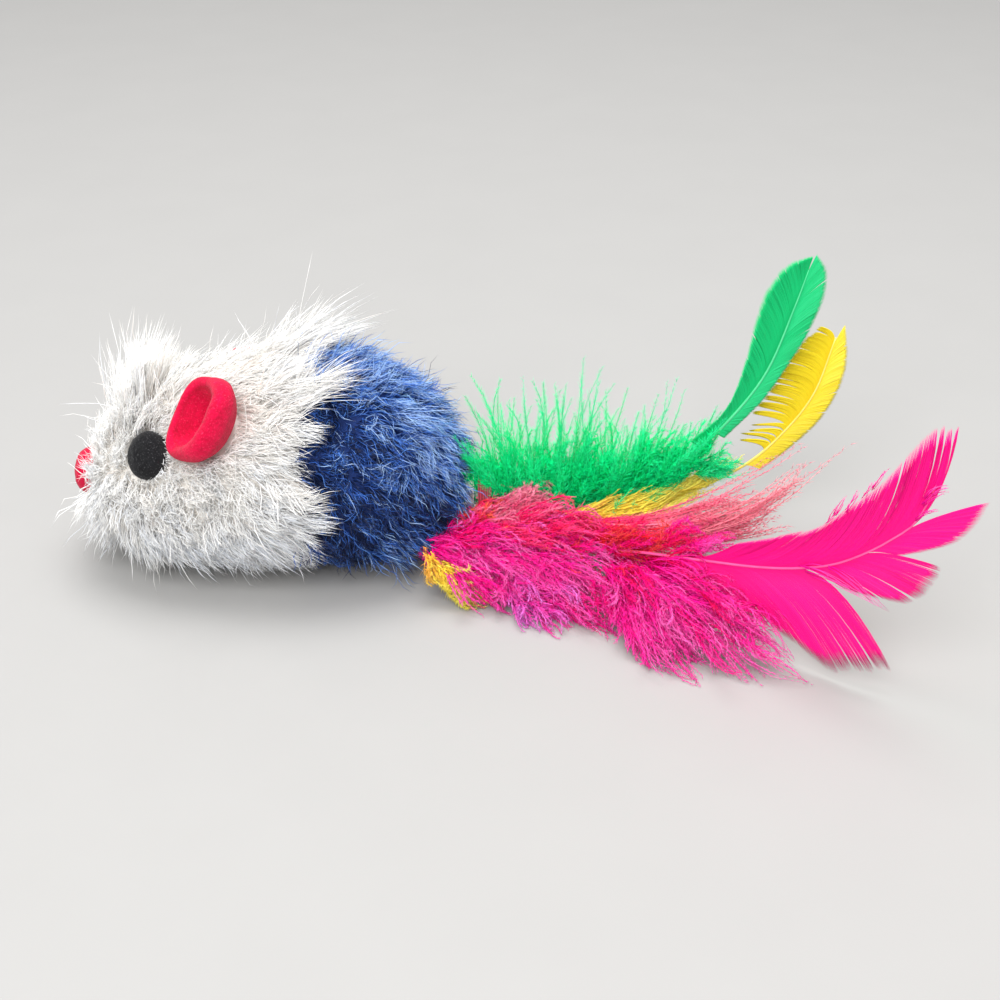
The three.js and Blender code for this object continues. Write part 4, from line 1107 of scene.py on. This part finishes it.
vanes = {
    "green": [
        {"span": (0.44, 0.55, 0.66, 0.77, 0.88, 0.985), "barbs": 280, "groups": 15, "notch": 0.008, "tooth": 0.01,
         "split": 0.05, "camber": 0.9, "row": 0.35,
         "edge": [(0.545, 0.27), (0.665, 0.4), (0.72, 0.575), (0.75, 0.77), (0.785, 0.91), (0.86, 1.01),
         (0.94, 1.03)]},
        {"span": (0.5, 0.995), "barbs": 260, "groups": 8, "notch": 0.004, "tooth": 0.006, "split": 0.03,
         "camber": -0.9, "row": 0.6,
         "edge": [(0.68, 0.27), (0.81, 0.43), (0.886, 0.563), (0.965, 0.73), (1.003, 0.87), (0.998, 0.97),
         (0.955, 1.03)]},
    ],
    "yellow": [
        {"span": (0.62, 0.71), "barbs": 40, "groups": 4, "notch": 0.15, "tooth": 0.04, "split": 0.75, "fray": 1.2,
         "lead": 0.5, "edge": [(0.65, 0.34), (0.69, 0.45)]},
        {"span": (0.7, 0.985), "barbs": 200, "groups": 13, "notch": 0.02, "tooth": 0.012, "split": 0.16, "fray": 3,
         "lead": 0.5, "fingers": [(0, 4), (0.15, 3), (0.4, 0.6), (0.85, 0.5), (0.95, 1.5), (1, 1)], "camber": 0.9,
         "edge": [(0.685, 0.5), (0.755, 0.69), (0.815, 0.86), (0.895, 0.99)]},
        {"span": (0.56, 0.97), "barbs": 230, "groups": 9, "notch": 0.006, "tooth": 0.008, "split": 0.06,
         "camber": -0.9, "row": 0.7,
         "edge": [(0.753, 0.157), (0.85, 0.29), (0.94, 0.45), (0.995, 0.64), (1.006, 0.8), (0.985, 0.99)]},
    ],
    "pink": [
        {"span": (0.317, 0.362, 0.429, 0.495, 0.561, 0.626, 0.693, 0.765, 0.817, 0.846), "barbs": 340, "groups": 13,
         "notch": 0.006, "tooth": 0.005, "split": 0.08, "lead": 0.42, "camber": 0.9,
         "fingers": [(0, 0.6), (0.55, 1), (0.72, 1.5), (0.8, 6), (1, 6)], "spread": 0.4,
         "edge": [(0.489, 0.3), (0.602, 0.407), (0.672, 0.486), (0.731, 0.606), (0.794, 0.744), (0.832, 0.862),
         (0.864, 0.96), (0.892, 1.02), (0.915, 1.03), (0.93, 1.035)]},
        {"span": (0.729, 0.753, 0.776, 0.803, 0.831), "barbs": 120, "groups": 2, "notch": 0.004, "tooth": 0.004,
         "split": 0.03, "lead": 0.3, "row": 0.5, "spread": 0.1,
         "edge": [(0.849, 0.456), (0.9, 0.507), (0.962, 0.587), (0.994, 0.682), (1.012, 0.78)]},
        {"span": (0.582, 0.609, 0.638, 0.667, 0.69, 0.706, 0.721), "barbs": 160, "groups": 7, "notch": 0.015,
         "tooth": 0.012, "split": 0.1, "camber": -0.6, "lead": 0.3, "fray": 7,
         "edge": [(0.739, 0.234), (0.822, 0.244), (0.882, 0.266), (0.912, 0.324), (0.927, 0.377), (0.937, 0.433),
         (0.93, 0.458)]},
        {"span": (0.282, 0.328, 0.363, 0.396, 0.44, 0.473, 0.507, 0.539, 0.571), "barbs": 280, "groups": 11,
         "notch": 0.025, "tooth": 0.018, "split": 0.14, "camber": -0.6, "fray": 8,
         "edge": [(0.452, 0.0), (0.556, -0.048), (0.634, -0.082), (0.7, -0.134), (0.751, -0.157), (0.785, -0.118),
         (0.826, -0.098), (0.848, -0.06), (0.872, -0.06)]},
    ],
}
# each tuft: root, tip, how far its barbs stray at the root and at the tip, barbs, row, and the bow
# where it has its own
downs = {
    "green": [
        {"hairs": 76, "hairLength": 2.4, "ragged": 0.4, "sway": 0.05, "curl": 0.12, "locked": 0.3, "flat": 1.4,
         "angle": 0.55, "fade": 0.8, "thick": 0.07, "fine": 0.042, "y": -1.5, "bow": 0, "tufts": [
            (33.7, 9.5, 27.8, 21.1, 1.6, 2.2, 7, 0.7, 0.05), (34.5, 9.8, 30.7, 28.8, 1.8, 2.2, 7, 0.8, 0.04),
            (35.9, 9.5, 34.9, 27.2, 1.8, 2.4, 8, 0.8, 0.03), (38.1, 9.5, 37.9, 31.9, 1.8, 2.4, 8, 0.9),
            (40.3, 9.5, 41.1, 27.2, 1.8, 2.6, 9, 0.8), (42.5, 9.5, 43.0, 29.1, 1.8, 2.6, 9, 0.8),
            (44.7, 9.5, 47.7, 31.9, 1.8, 2.4, 8, 0.9, -0.04), (47.6, 10.2, 49.5, 26.6, 1.8, 2.6, 9, 0.8, -0.04),
            (49.8, 10.5, 53.5, 25.3, 1.8, 2.4, 9, 0.8, -0.05), (52.0, 11.2, 58.2, 29.1, 1.6, 2.2, 8, 0.9, -0.08),
            (54.1, 11.9, 57.1, 22.7, 1.6, 2.2, 8, 0.7, -0.05), (57.0, 12.9, 62.7, 23.7, 1.4, 1.8, 8, 0.8, -0.08),
            (60.5, 15.2, 65.8, 24.2, 1.0, 1.2, 6, 0.8, -0.08), (33.5, 8.8, 29.1, 15.9, 1.4, 1.8, 12, 0.6, 0.05),
            (54.2, 11.2, 60.9, 20.5, 1.2, 1.6, 8, 0.7, -0.06), (36.7, 9.5, 36.3, 22.7, 2.0, 2.6, 12, 0.6),
            (44.0, 9.5, 45.7, 23.1, 2.0, 2.8, 14, 0.6), (49.8, 10.2, 52.3, 22.1, 1.8, 2.6, 12, 0.6)]},
        {"hairs": 34, "hairLength": 1.9, "ragged": 0.5, "sway": 0.12, "curl": 0.4, "locked": 0.5, "fan": 1.2,
         "shed": 0.5, "run": 0.6, "y": -1.5, "bow": 0.05, "tufts": [
            (33.7, 8.4, 29.1, 13.2, 0.96, 1.3, 33, 0.2), (34.0, 9.5, 29.7, 17.0, 1.04, 1.4, 33, 0.3),
            (33.5, 8.1, 30.6, 15.9, 1.2, 1.6, 33, 0.45), (35.2, 7.8, 33.7, 18.2, 1.28, 1.7, 44, 0.5),
            (38.2, 7.4, 37.8, 19.5, 1.36, 1.8, 49, 0.55), (41.1, 7.4, 41.8, 20.2, 1.2, 1.8, 49, 0.5),
            (44.7, 8.4, 46.6, 19.8, 1.04, 1.8, 49, 0.5), (48.4, 9.1, 51.2, 19.5, 0.96, 1.8, 49, 0.55),
            (52.0, 10.2, 55.9, 19.5, 0.96, 1.6, 44, 0.5), (55.6, 11.9, 61.0, 19.5, 0.88, 1.4, 39, 0.5),
            (59.2, 12.5, 64.6, 21.1, 0.88, 1.1, 33, 0.55), (35.2, 7.4, 39.6, 10.8, 1.28, 1.6, 44, 0.15),
            (40.4, 7.8, 46.1, 11.2, 1.04, 1.5, 49, 0.15), (46.2, 9.1, 52.6, 12.9, 0.88, 1.4, 49, 0.2),
            (51.3, 10.5, 58.3, 15.2, 0.88, 1.2, 39, 0.25), (36.7, 7.4, 42.4, 14.5, 1.44, 1.8, 49, 0.35),
            (42.6, 7.1, 49.6, 15.2, 1.44, 1.8, 49, 0.35), (48.4, 7.8, 55.4, 15.9, 1.36, 1.6, 44, 0.35),
            (32.3, 8.1, 31.7, 12.2, 1.04, 1.5, 28, 0.3), (54.2, 9.5, 61.2, 15.9, 1.12, 1.2, 33, 0.4),
            (61.3, 14.2, 67.9, 18.2, 0.64, 0.8, 15, 0.8), (61.3, 13.5, 69.5, 15.9, 0.64, 0.8, 15, 0.9)]},
    ],
    "yellow": [
        {"hairs": 34, "hairLength": 0.9, "ragged": 0.5, "sway": 0.03, "angle": 0.45, "thick": 0.13, "fine": 0.065,
         "bow": -0.06, "tufts": [
            (41.9, -4.8, 8.1, 50.9, -4.5, 9.5, 0.5, 0.6, 34, 0.35),
            (46.9, -4.7, 8.9, 57.1, -2.9, 11.0, 0.5, 0.6, 34, 0.6),
            (51.2, -4.5, 9.8, 61.5, -0.7, 13.2, 0.5, 0.6, 30, 0.8),
            (42.5, -4.8, 8.3, 51.1, -4.5, 12.2, 0.5, 0.6, 26, 0.4),
            (44.7, -4.7, 8.2, 55.5, -3.6, 12.7, 0.6, 0.6, 30, 0.5),
            (48.3, -4.6, 8.5, 60.0, -1.4, 12.9, 0.6, 0.6, 34, 0.7),
            (52.0, -4.5, 9.1, 63.0, 0.1, 13.5, 0.6, 0.5, 30, 0.9),
            (45.4, -4.7, 7.9, 54.2, -4.4, 9.4, 0.6, 0.6, 26, 0.45),
            (49.8, -4.5, 8.1, 58.7, -2.2, 9.6, 0.6, 0.6, 26, 0.6),
            (54.2, -4.4, 9.4, 63.2, 0.1, 10.4, 0.5, 0.5, 22, 0.8),
            (55.6, -3.6, 9.6, 65.3, 1.1, 14.4, 0.5, 0.4, 22, 1.0),
            (40.8, -4.8, 7.9, 48.3, -4.6, 9.9, 0.7, 0.7, 26, 0.3),
            (60.1, -1.4, 10.8, 68.6, 2.1, 15.5, 0.5, 0.4, 16, 1.0),
            (61.6, -0.7, 11.2, 70.0, 2.2, 15.4, 0.4, 0.4, 14, 1.0)]},
        {"hairs": 22, "hairLength": 1.2, "ragged": 0.5, "sway": 0.05, "angle": 0.5, "bow": -0.05, "tufts": [
            (42.0, 2.7, 7.0, 50.0, 5.6, 8.6, 0.4, 0.9, 20, 0.35),
            (46.0, 2.7, 6.2, 54.5, 6.0, 7.6, 0.4, 0.9, 22, 0.45), (50.0, 2.7, 5.9, 58.5, 5.8, 7.4, 0.4, 0.9, 22, 0.5),
            (54.0, 2.7, 6.1, 62.5, 5.4, 8.6, 0.4, 0.8, 20, 0.6), (58.0, 2.7, 6.8, 66.0, 4.8, 10.4, 0.4, 0.7, 18, 0.7),
            (61.5, 2.7, 8.5, 69.0, 4.4, 12.6, 0.3, 0.5, 14, 0.8),
            (43.0, 2.7, 6.9, 50.5, -2.2, 7.6, 0.4, 0.9, 20, 0.35),
            (48.0, 2.7, 6.0, 56.0, -2.0, 7.6, 0.4, 0.9, 20, 0.45),
            (53.0, 2.7, 6.0, 61.0, -1.4, 9.0, 0.4, 0.8, 20, 0.55),
            (58.0, 2.7, 6.8, 65.5, -0.2, 11.5, 0.3, 0.6, 18, 0.7)]},
    ],
    "pink": [
        {"hairs": 4, "hairLength": 0.5, "ragged": 0.2, "sway": 0.05, "curl": 0.08, "locked": 0.3, "thick": 0.07,
         "bow": 0.12, "tufts": [
            (72.7, -29.5, 16.3, 80.5, -34.4, 14.3, 0.3, 0.3, 5, 0.9),
            (73.3, -29.9, 15.9, 85.2, -37.2, 13.2, 0.3, 0.2, 4, 0.9),
            (76.0, -31.8, 17.8, 82.3, -35.4, 13.5, 0.3, 0.3, 5, 0.9),
            (76.9, -33.0, 26.9, 78.0, -34.0, 30.6, 0.4, 0.4, 4, 0.6, -0.05),
            (75.9, -32.2, 25.6, 76.8, -33.0, 28.8, 0.4, 0.4, 4, 0.6, -0.05),
            (78.4, -34.1, 29.4, 79.5, -35.1, 32.6, 0.4, 0.3, 4, 0.6, -0.05),
            (79.3, -34.8, 30.9, 80.5, -35.8, 34.2, 0.3, 0.3, 3, 0.6, -0.05),
            (74.9, -31.5, 24.3, 75.9, -32.3, 27.2, 0.4, 0.3, 3, 0.6, -0.05),
            (84.7, -38.2, 30.8, 87.2, -39.7, 33.5, 0.3, 0.3, 5, 0.9),
            (84.3, -37.8, 28.4, 86.6, -39.4, 30.8, 0.3, 0.3, 4, 0.9),
            (84.9, -38.4, 31.7, 87.2, -39.7, 34.6, 0.3, 0.3, 4, 0.9)]},
        {"hairs": 30, "hairLength": 1.3, "ragged": 0.4, "shed": 0.6, "run": 0.5, "bow": 0.05, "tufts": [
            (44.5, -8.7, 6.3, 53.1, -14.8, 14.2, 0.72, 1.2, 43, 0.15),
            (48.0, -11.1, 7.3, 56.9, -17.3, 15.0, 0.72, 1.2, 43, 0.18),
            (52.0, -13.9, 8.4, 60.8, -19.8, 15.0, 0.64, 1.0, 40, 0.3),
            (55.9, -16.5, 9.6, 64.5, -22.3, 15.4, 0.56, 0.9, 31, 0.6),
            (46.6, -10.2, 6.7, 53.5, -14.8, 5.1, 0.72, 1.2, 43, 0.2),
            (50.7, -12.9, 7.8, 58.8, -18.1, 5.7, 0.72, 1.2, 48, 0.3),
            (54.6, -15.6, 8.9, 63.4, -21.1, 4.3, 0.64, 1.1, 43, 0.4),
            (58.5, -18.1, 10.2, 67.3, -23.6, 3.2, 0.56, 0.9, 33, 0.6),
            (47.9, -11.1, 7.8, 54.5, -15.6, 11.5, 0.72, 1.2, 43, 0.15),
            (53.3, -14.8, 8.8, 61.1, -19.8, 9.3, 0.64, 1.0, 43, 0.2),
            (42.4, -7.3, 5.7, 49.2, -12.0, 10.9, 0.72, 1.1, 36, 0.14)]},
    ],
}
quillTip, bendRoom = 0.09, 0.5
featherMaterials = {"green": (greenVane, greenDown), "yellow": (yellowVane, yellowDown), "pink": (pinkVane, pinkDown)}
for name, (vaneLook, downLook) in featherMaterials.items():
    feather = feathers[name]
    whole = f"{name}_feather"  # the name of the CAD node and of the body that flexes
    dice = np.random.default_rng(feather["seed"])
    inPlane, face = uprightPlane(feather)
    quill = smoothLine(inPlane(feather["quill"]))
    points, faces = quillForm(quill, feather["thick"], quillTip)
    makePiece(f"{name}_shaft", points, faces, shaftMaterials[name], whole, (whole,))
    webs = [{**vaneStyle, **web, "edge": inPlane(web["edge"])} for web in vanes[name]]
    points, faces, uvs = joinForms([vaneForm(quill, face, web, dice) for web in webs])
    makePiece(f"{name}_vane", points, faces, vaneLook, whole, uvs=uvs)
    for number, row in enumerate(downs[name], 1):
        # barbs on the fixed root of the quill stay with the mouse, and the others flex with the feather
        web = {**downStyle, **row, "face": face}
        table = tuftTable(web)
        flexes = table[:, 0] > feather["bend"][0] - bendRoom
        for part, body, tufts in (("down", whole, table[flexes]), ("root_down", "mouse", table[~flexes])):
            if len(tufts):
                points, faces, uvs = downForm(*tuftPaths(tufts, web, dice), web, dice)
                makePiece(f"{name}_{part}_{number}", points, faces, downLook, body, uvs=uvs)
                print(name, part, number, len(faces))


# loose plumes round the root of the tail

# each plume: the turn round the barrel where it starts, its heading, and a route in shares of its
# reach, of the tail's height and of its set-off to the near side; its tufts are as in the downs
plumes = {
    "pink_plume_upper": {**clumpStyle, "turn": 45, "heading": -8, "setOff": 2.7, "reach": 16,
     "route": [(0.25, 1.14, 0.9), (0.55, 1.12, 1), (0.95, 1.14, 1)], "material": upperDown, "slot": "pink_down",
     "bow": 0.15, "tufts": [
        (26.9, -7.8, 7.9, 33.5, -4.8, 9.9, 0.8, 0.8, 44, 0.2), (28.3, -6.8, 8.3, 34.6, -4.4, 10.3, 0.8, 0.6, 30, 0.0),
        (29.4, -6.2, 8.3, 40.2, -4.3, 11.1, 0.96, 1.1, 67, 0.9),
        (31.1, -6.1, 7.8, 41.8, -5.8, 10.2, 0.96, 1.2, 67, 0.9),
        (30.6, -6.5, 7.5, 44.0, -8.2, 10.0, 1.04, 1.2, 67, 0.5),
        (32.6, -6.5, 7.5, 48.0, -13.2, 10.6, 1.04, 1.4, 67, 0.25),
        (32.3, -7.2, 6.8, 46.4, -12.9, 8.3, 0.96, 1.2, 60, 0.3),
        (36.6, -4.9, 9.0, 46.4, -11.0, 10.4, 0.88, 1.1, 51, 0.3),
        (33.7, -3.7, 10.0, 41.8, -4.5, 11.2, 0.8, 1.0, 51, 1.0),
        (26.6, -8.4, 7.3, 30.9, -6.4, 8.9, 0.8, 1.0, 45, 0.1)]},
    "pink_plume_far": {**downStyle, "turn": 85, "heading": -18.3, "setOff": 2.6, "reach": 50,
     "route": [(0.1, 0.9, 1), (0.22, 0.85, 1), (0.45, 0.98, 1), (0.7, 1.42, 1), (0.97, 2.4, 1)], "material": paleDown,
     "slot": "pale_pink_down", "hairs": 40, "hairLength": 1.7, "ragged": 0.35, "flat": 1.6, "sway": 0.03,
     "angle": 0.5, "fade": 0.5, "thick": 0.1, "fine": 0.055, "bow": -0.05, "tufts": [
        (48.1, -7.0, 8.1, 76.5, -16.5, 28.1, 0.5, 0.3, 4, 0.8, -0.14),
        (51.0, -7.9, 8.3, 81.2, -18.0, 28.6, 0.5, 0.3, 5, 0.9, -0.17),
        (53.8, -8.7, 8.1, 81.0, -17.9, 27.8, 0.5, 0.3, 5, 1.0, -0.25),
        (48.2, -7.0, 7.4, 75.8, -16.1, 22.9, 0.7, 0.8, 8, 0.7, -0.14),
        (49.6, -7.4, 7.3, 74.9, -15.7, 18.6, 0.7, 0.9, 10, 0.6, -0.06),
        (51.0, -7.9, 7.3, 72.6, -14.8, 15.1, 0.7, 0.9, 12, 0.5),
        (48.2, -7.0, 7.1, 69.7, -14.0, 18.6, 0.8, 0.9, 14, 0.5, -0.07),
        (48.2, -7.0, 7.1, 67.2, -13.1, 16.0, 0.8, 0.9, 18, 0.4, -0.04),
        (48.2, -7.0, 6.7, 62.4, -11.5, 11.9, 0.9, 1.2, 34, 0.3, 0),
        (53.8, -8.7, 7.5, 74.0, -15.3, 13.9, 0.8, 0.9, 12, 0.6),
        (43.9, -6.0, 6.4, 59.3, -10.4, 9.2, 0.9, 1.1, 36, 0.1, 0),
        (44.6, -6.2, 6.7, 56.5, -9.6, 10.0, 0.8, 0.9, 40, 0.15, 0),
        (51.0, -7.9, 7.3, 64.4, -12.2, 13.9, 0.8, 1.0, 34, 0.4, -0.03),
        (53.8, -8.7, 7.5, 68.2, -13.4, 13.4, 0.9, 1.1, 34, 0.45, -0.03),
        (56.6, -9.6, 8.0, 72.1, -14.7, 17.4, 0.7, 0.9, 16, 0.6),
        (62.0, -11.3, 10.1, 74.4, -15.6, 21.1, 0.5, 0.6, 8, 0.8, -0.06)]},
    "yellow_plume": {**clumpStyle, "turn": 115, "heading": 0, "setOff": 14.5, "reach": 10,
     "route": [(-0.25, 0.5, 0.42), (-0.6, 0.32, 0.7), (-0.76, 0.36, 0.92), (-0.6, 0.26, 1), (-0.36, 0.1, 1)],
     "material": yellowDown, "slot": "yellow_down", "curl": 0.05, "locked": 0.85, "fan": 1.0, "angle": 0.6,
     "bow": -0.1, "tufts": [
        (23.1, -14.0, 8.8, 25.0, -14.3, 5.0, 0.64, 0.9, 44, 0.2),
        (23.8, -14.0, 7.8, 28.1, -14.3, 2.3, 0.72, 1.0, 49, 0.6),
        (24.5, -14.0, 6.8, 30.6, -14.9, 0.6, 0.72, 1.0, 49, 1.0),
        (26.0, -14.0, 5.5, 32.0, -14.3, 1.9, 0.72, 0.9, 38, 1.0),
        (25.3, -14.0, 4.6, 29.5, -14.3, 1.2, 0.72, 1, 33, 0.85)]},
    "pink_plume_near": {**clumpStyle, "turn": 140, "heading": -12, "setOff": 12.3, "reach": 20,
     "route": [(0.1, 0.62, 0.45), (0.3, 0.55, 0.85), (0.55, 0.52, 1), (0.8, 0.5, 1)], "material": pinkDown,
     "slot": "pink_down", "bow": 0.12, "tufts": [
        (24.1, -11.2, 7.7, 34.5, -8.0, 8.1, 0.96, 1.4, 60, 0.4),
        (23.6, -11.9, 7.4, 34.9, -17.6, 0.6, 0.96, 1.2, 75, 0.6),
        (23.8, -11.4, 7.8, 32.3, -13.0, 3.4, 0.96, 1.5, 60, 0.7),
        (25.9, -8.8, 7.9, 35.7, -11.7, 5.3, 1.04, 1.6, 67, 0.85),
        (26.6, -7.5, 8.4, 36.9, -9.9, 6.9, 0.96, 1.5, 60, 0.5),
        (33.7, -7.7, 6.5, 48.0, -17.1, 5.5, 1.28, 1.8, 82, 0.8),
        (33.0, -8.3, 5.9, 48.0, -18.8, 3.2, 1.28, 1.8, 90, 0.7),
        (34.5, -10.1, 4.6, 45.7, -20.2, 0.9, 1.28, 1.6, 75, 0.65),
        (36.6, -6.7, 7.5, 48.0, -15.8, 7.3, 1.12, 1.4, 60, 1.0),
        (30.9, -8.6, 5.3, 42.2, -17.8, 2.6, 1.28, 1.8, 75, 0.85),
        (28.9, -9.6, 5.0, 38.5, -16.8, 2.3, 1.2, 1.6, 67, 0.6),
        (39.5, -10.8, 5.1, 48.2, -18.4, 4.2, 1.28, 1.6, 60, 0.75),
        (29.4, -7.4, 7.1, 38.0, -13.6, 4.4, 1.12, 1.6, 60, 0.75),
        (36.6, -8.5, 6.2, 43.9, -15.2, 4.9, 1.12, 1.5, 60, 0.5),
        (27.3, -8.9, 6.4, 34.5, -15.0, 2.4, 1.04, 1.4, 60, 0.9),
        (35.2, -12.0, 3.3, 44.2, -19.1, 1.8, 1.12, 1.5, 60, 0.9),
        (25.2, -9.8, 7.8, 29.2, -12.2, 4.3, 0.88, 1.3, 51, 0.5),
        (38.8, -8.3, 6.8, 47.2, -13.9, 8.7, 1.04, 1.3, 51, 0.35)]},
    "pink_plume_under": {**clumpStyle, "turn": 185, "heading": -30, "setOff": 12.9, "reach": 24,
     "route": [(0.12, 0.3, 0.35), (0.3, 0.13, 0.7), (0.45, 0.2, 0.95), (0.7, 0.3, 1), (0.95, 0.26, 1)],
     "material": violetDown, "slot": "violet_down", "bow": 0.12, "tufts": [
        (33.7, -11.4, 3.4, 42.0, -22.4, 0.6, 1.2, 1.4, 62, 0.5),
        (35.9, -12.9, 2.7, 39.3, -21.7, 0.6, 1.04, 1.3, 42, 0.7),
        (33.0, -11.0, 3.5, 38.0, -18.9, 0.7, 1.04, 1.4, 42, 0.4),
        (42.2, -15.1, 2.8, 47.7, -20.8, 0.6, 1.28, 1.5, 56, 0.1),
        (38.0, -13.7, 2.7, 44.9, -21.2, 0.6, 1.2, 1.4, 49, 0.2)]},
    "pink_plume_long": {**clumpStyle, "turn": 225, "heading": -27.8, "setOff": 10, "reach": 50,
     "route": [(0.08, 0.33, 0.3), (0.2, 0.14, 0.75), (0.3, 0.15, 1), (0.45, 0.3, 1), (0.7, 0.3, 1), (0.97, 0.12, 1)],
     "material": pinkDown, "slot": "pink_down", "bow": 0.12, "tufts": [
        (48.5, -15.4, 6.0, 52.3, -26.4, 1.0, 1.12, 1.3, 65, 0.6),
        (48.1, -14.8, 6.3, 50.8, -24.4, 0.8, 1.12, 1.3, 58, 0.5),
        (49.4, -16.0, 6.4, 54.8, -30.5, 0.6, 1.04, 1.2, 65, 0.7),
        (52.9, -24.9, 1.2, 54.7, -36.6, 0.6, 0.16, 0.2, 4, 0.6),
        (49.2, -14.9, 7.4, 59.1, -31.4, 0.6, 1.2, 1.5, 72, 0.8),
        (51.1, -16.5, 7.8, 62.5, -32.7, 0.6, 1.12, 1.3, 72, 0.7),
        (53.1, -18.1, 8.1, 67.6, -34.0, 0.6, 1.04, 1.2, 65, 0.8),
        (54.4, -19.3, 8.0, 75.8, -34.0, 0.6, 0.8, 0.5, 23, 0.9),
        (55.7, -20.0, 8.5, 73.5, -33.3, 1.4, 0.8, 0.7, 31, 0.8),
        (53.1, -17.3, 8.9, 72.0, -32.1, 5.0, 0.8, 0.7, 34, 0.7),
        (55.7, -19.7, 8.9, 70.2, -31.5, 5.8, 0.96, 0.9, 43, 0.6),
        (58.2, -22.9, 7.8, 71.0, -32.4, 3.6, 1.04, 1.0, 43, 0.8),
        (51.8, -16.5, 8.5, 65.9, -30.4, 5.1, 1.28, 1.6, 72, 0.5),
        (54.3, -21.6, 5.6, 64.4, -31.8, 1.6, 1.28, 1.5, 65, 0.9),
        (47.8, -13.9, 7.1, 54.2, -22.8, 6.4, 1.12, 1.5, 58, 0.4),
        (50.4, -18.3, 4.9, 57.9, -29.3, 2.7, 1.2, 1.5, 65, 0.85),
        (55.7, -18.6, 10.1, 64.4, -27.9, 8.3, 1.04, 1.4, 58, 0.35),
        (60.8, -23.8, 8.7, 69.5, -31.8, 4.5, 0.96, 1.0, 49, 0.7),
        (53.1, -19.5, 6.6, 60.5, -27.8, 5.7, 1.12, 1.5, 58, 1.0)]},
}
stem = {"foot": 0.2, "tip": 0.06, "steps": 40, "sides": 6, "share": 0.8, "seed": 300}
for number, (name, plume) in enumerate(plumes.items()):
    dice = np.random.default_rng(stem["seed"] + number)
    onward, face = headed(plume["heading"])
    turn = math.radians(plume["turn"])
    beside = (np.array([[tail["plumeFoot"], 0, 0], [tail["barrelEnd"], 0, 0]])
              + [0, -tail["plumeRoot"] * math.sin(turn), tail["height"] + tail["plumeRoot"] * math.cos(turn)])
    route = np.array(plume["route"], float)
    route = (np.array([tail["barrelEnd"], 0, 0]) + onward * route[:, :1] * plume["reach"]
             + face * route[:, 2:] * plume["setOff"] + np.array([0, 0, tail["height"]]) * route[:, 1:2])
    line = smoothLine(np.concatenate([beside, route]))
    line = line[:int(len(line) * stem["share"])]
    points, faces = quillForm(line, stem["foot"], stem["tip"], stem["steps"], stem["sides"])
    uvs = np.tile([[0.5, 0.5], [0.52, 0.5], [0.5, 0.51]], (len(points) // 3 + 1, 1))[:len(points)]
    shaft = (points, np.concatenate([faces[:, :3], faces[:, [0, 2, 3]]]), uvs)
    down = downForm(*tuftPaths(tuftTable(plume), plume, dice), {**plume, "face": face}, dice)
    points, faces, uvs = joinForms([shaft, down])
    makePiece(f"{name}_down", points, faces, plume["material"], "mouse", (name,), uvs=uvs)
    print(name, "done", len(faces))


# the moulded and wound pieces stay as they are, with better materials

plastic = plainMaterial("natural plastic", (214, 210, 200), (228, 225, 216), 0.45)
beadPlastic = plainMaterial("bead plastic", (206, 200, 186), (222, 216, 204), 0.3)
threadDesk = Desk("wound thread", Roughness=0.8, Sheen_Weight=0.3)
threadWave = threadDesk.node("ShaderNodeTexWave", {"wave_type": "BANDS", "bands_direction": "X"},
                             {"Vector": threadDesk.objectPlace(), "Scale": 900, "Distortion": 1.5, "Detail": 2})
threadDesk.paint("Base Color", threadDesk.mixColours(threadWave, dyed((120, 12, 38)), dyed((206, 44, 80))))
threadDesk.bump(threadWave, 0.6, 0.0001)
kept = {"tail_binding": threadDesk.material,
        **{name: plastic for name in ("core_left_shell", "core_right_shell", "tail_plug")},
        **{f"rattle_bead_{number}": beadPlastic for number in (1, 2, 3)},
        **{f"{name}_quill": material for name, material in shaftMaterials.items()}}
for name, material in kept.items():
    node = frame["nodes"][name]
    node.data.materials.clear()
    node.data.materials.append(material)
print("kept pieces done")
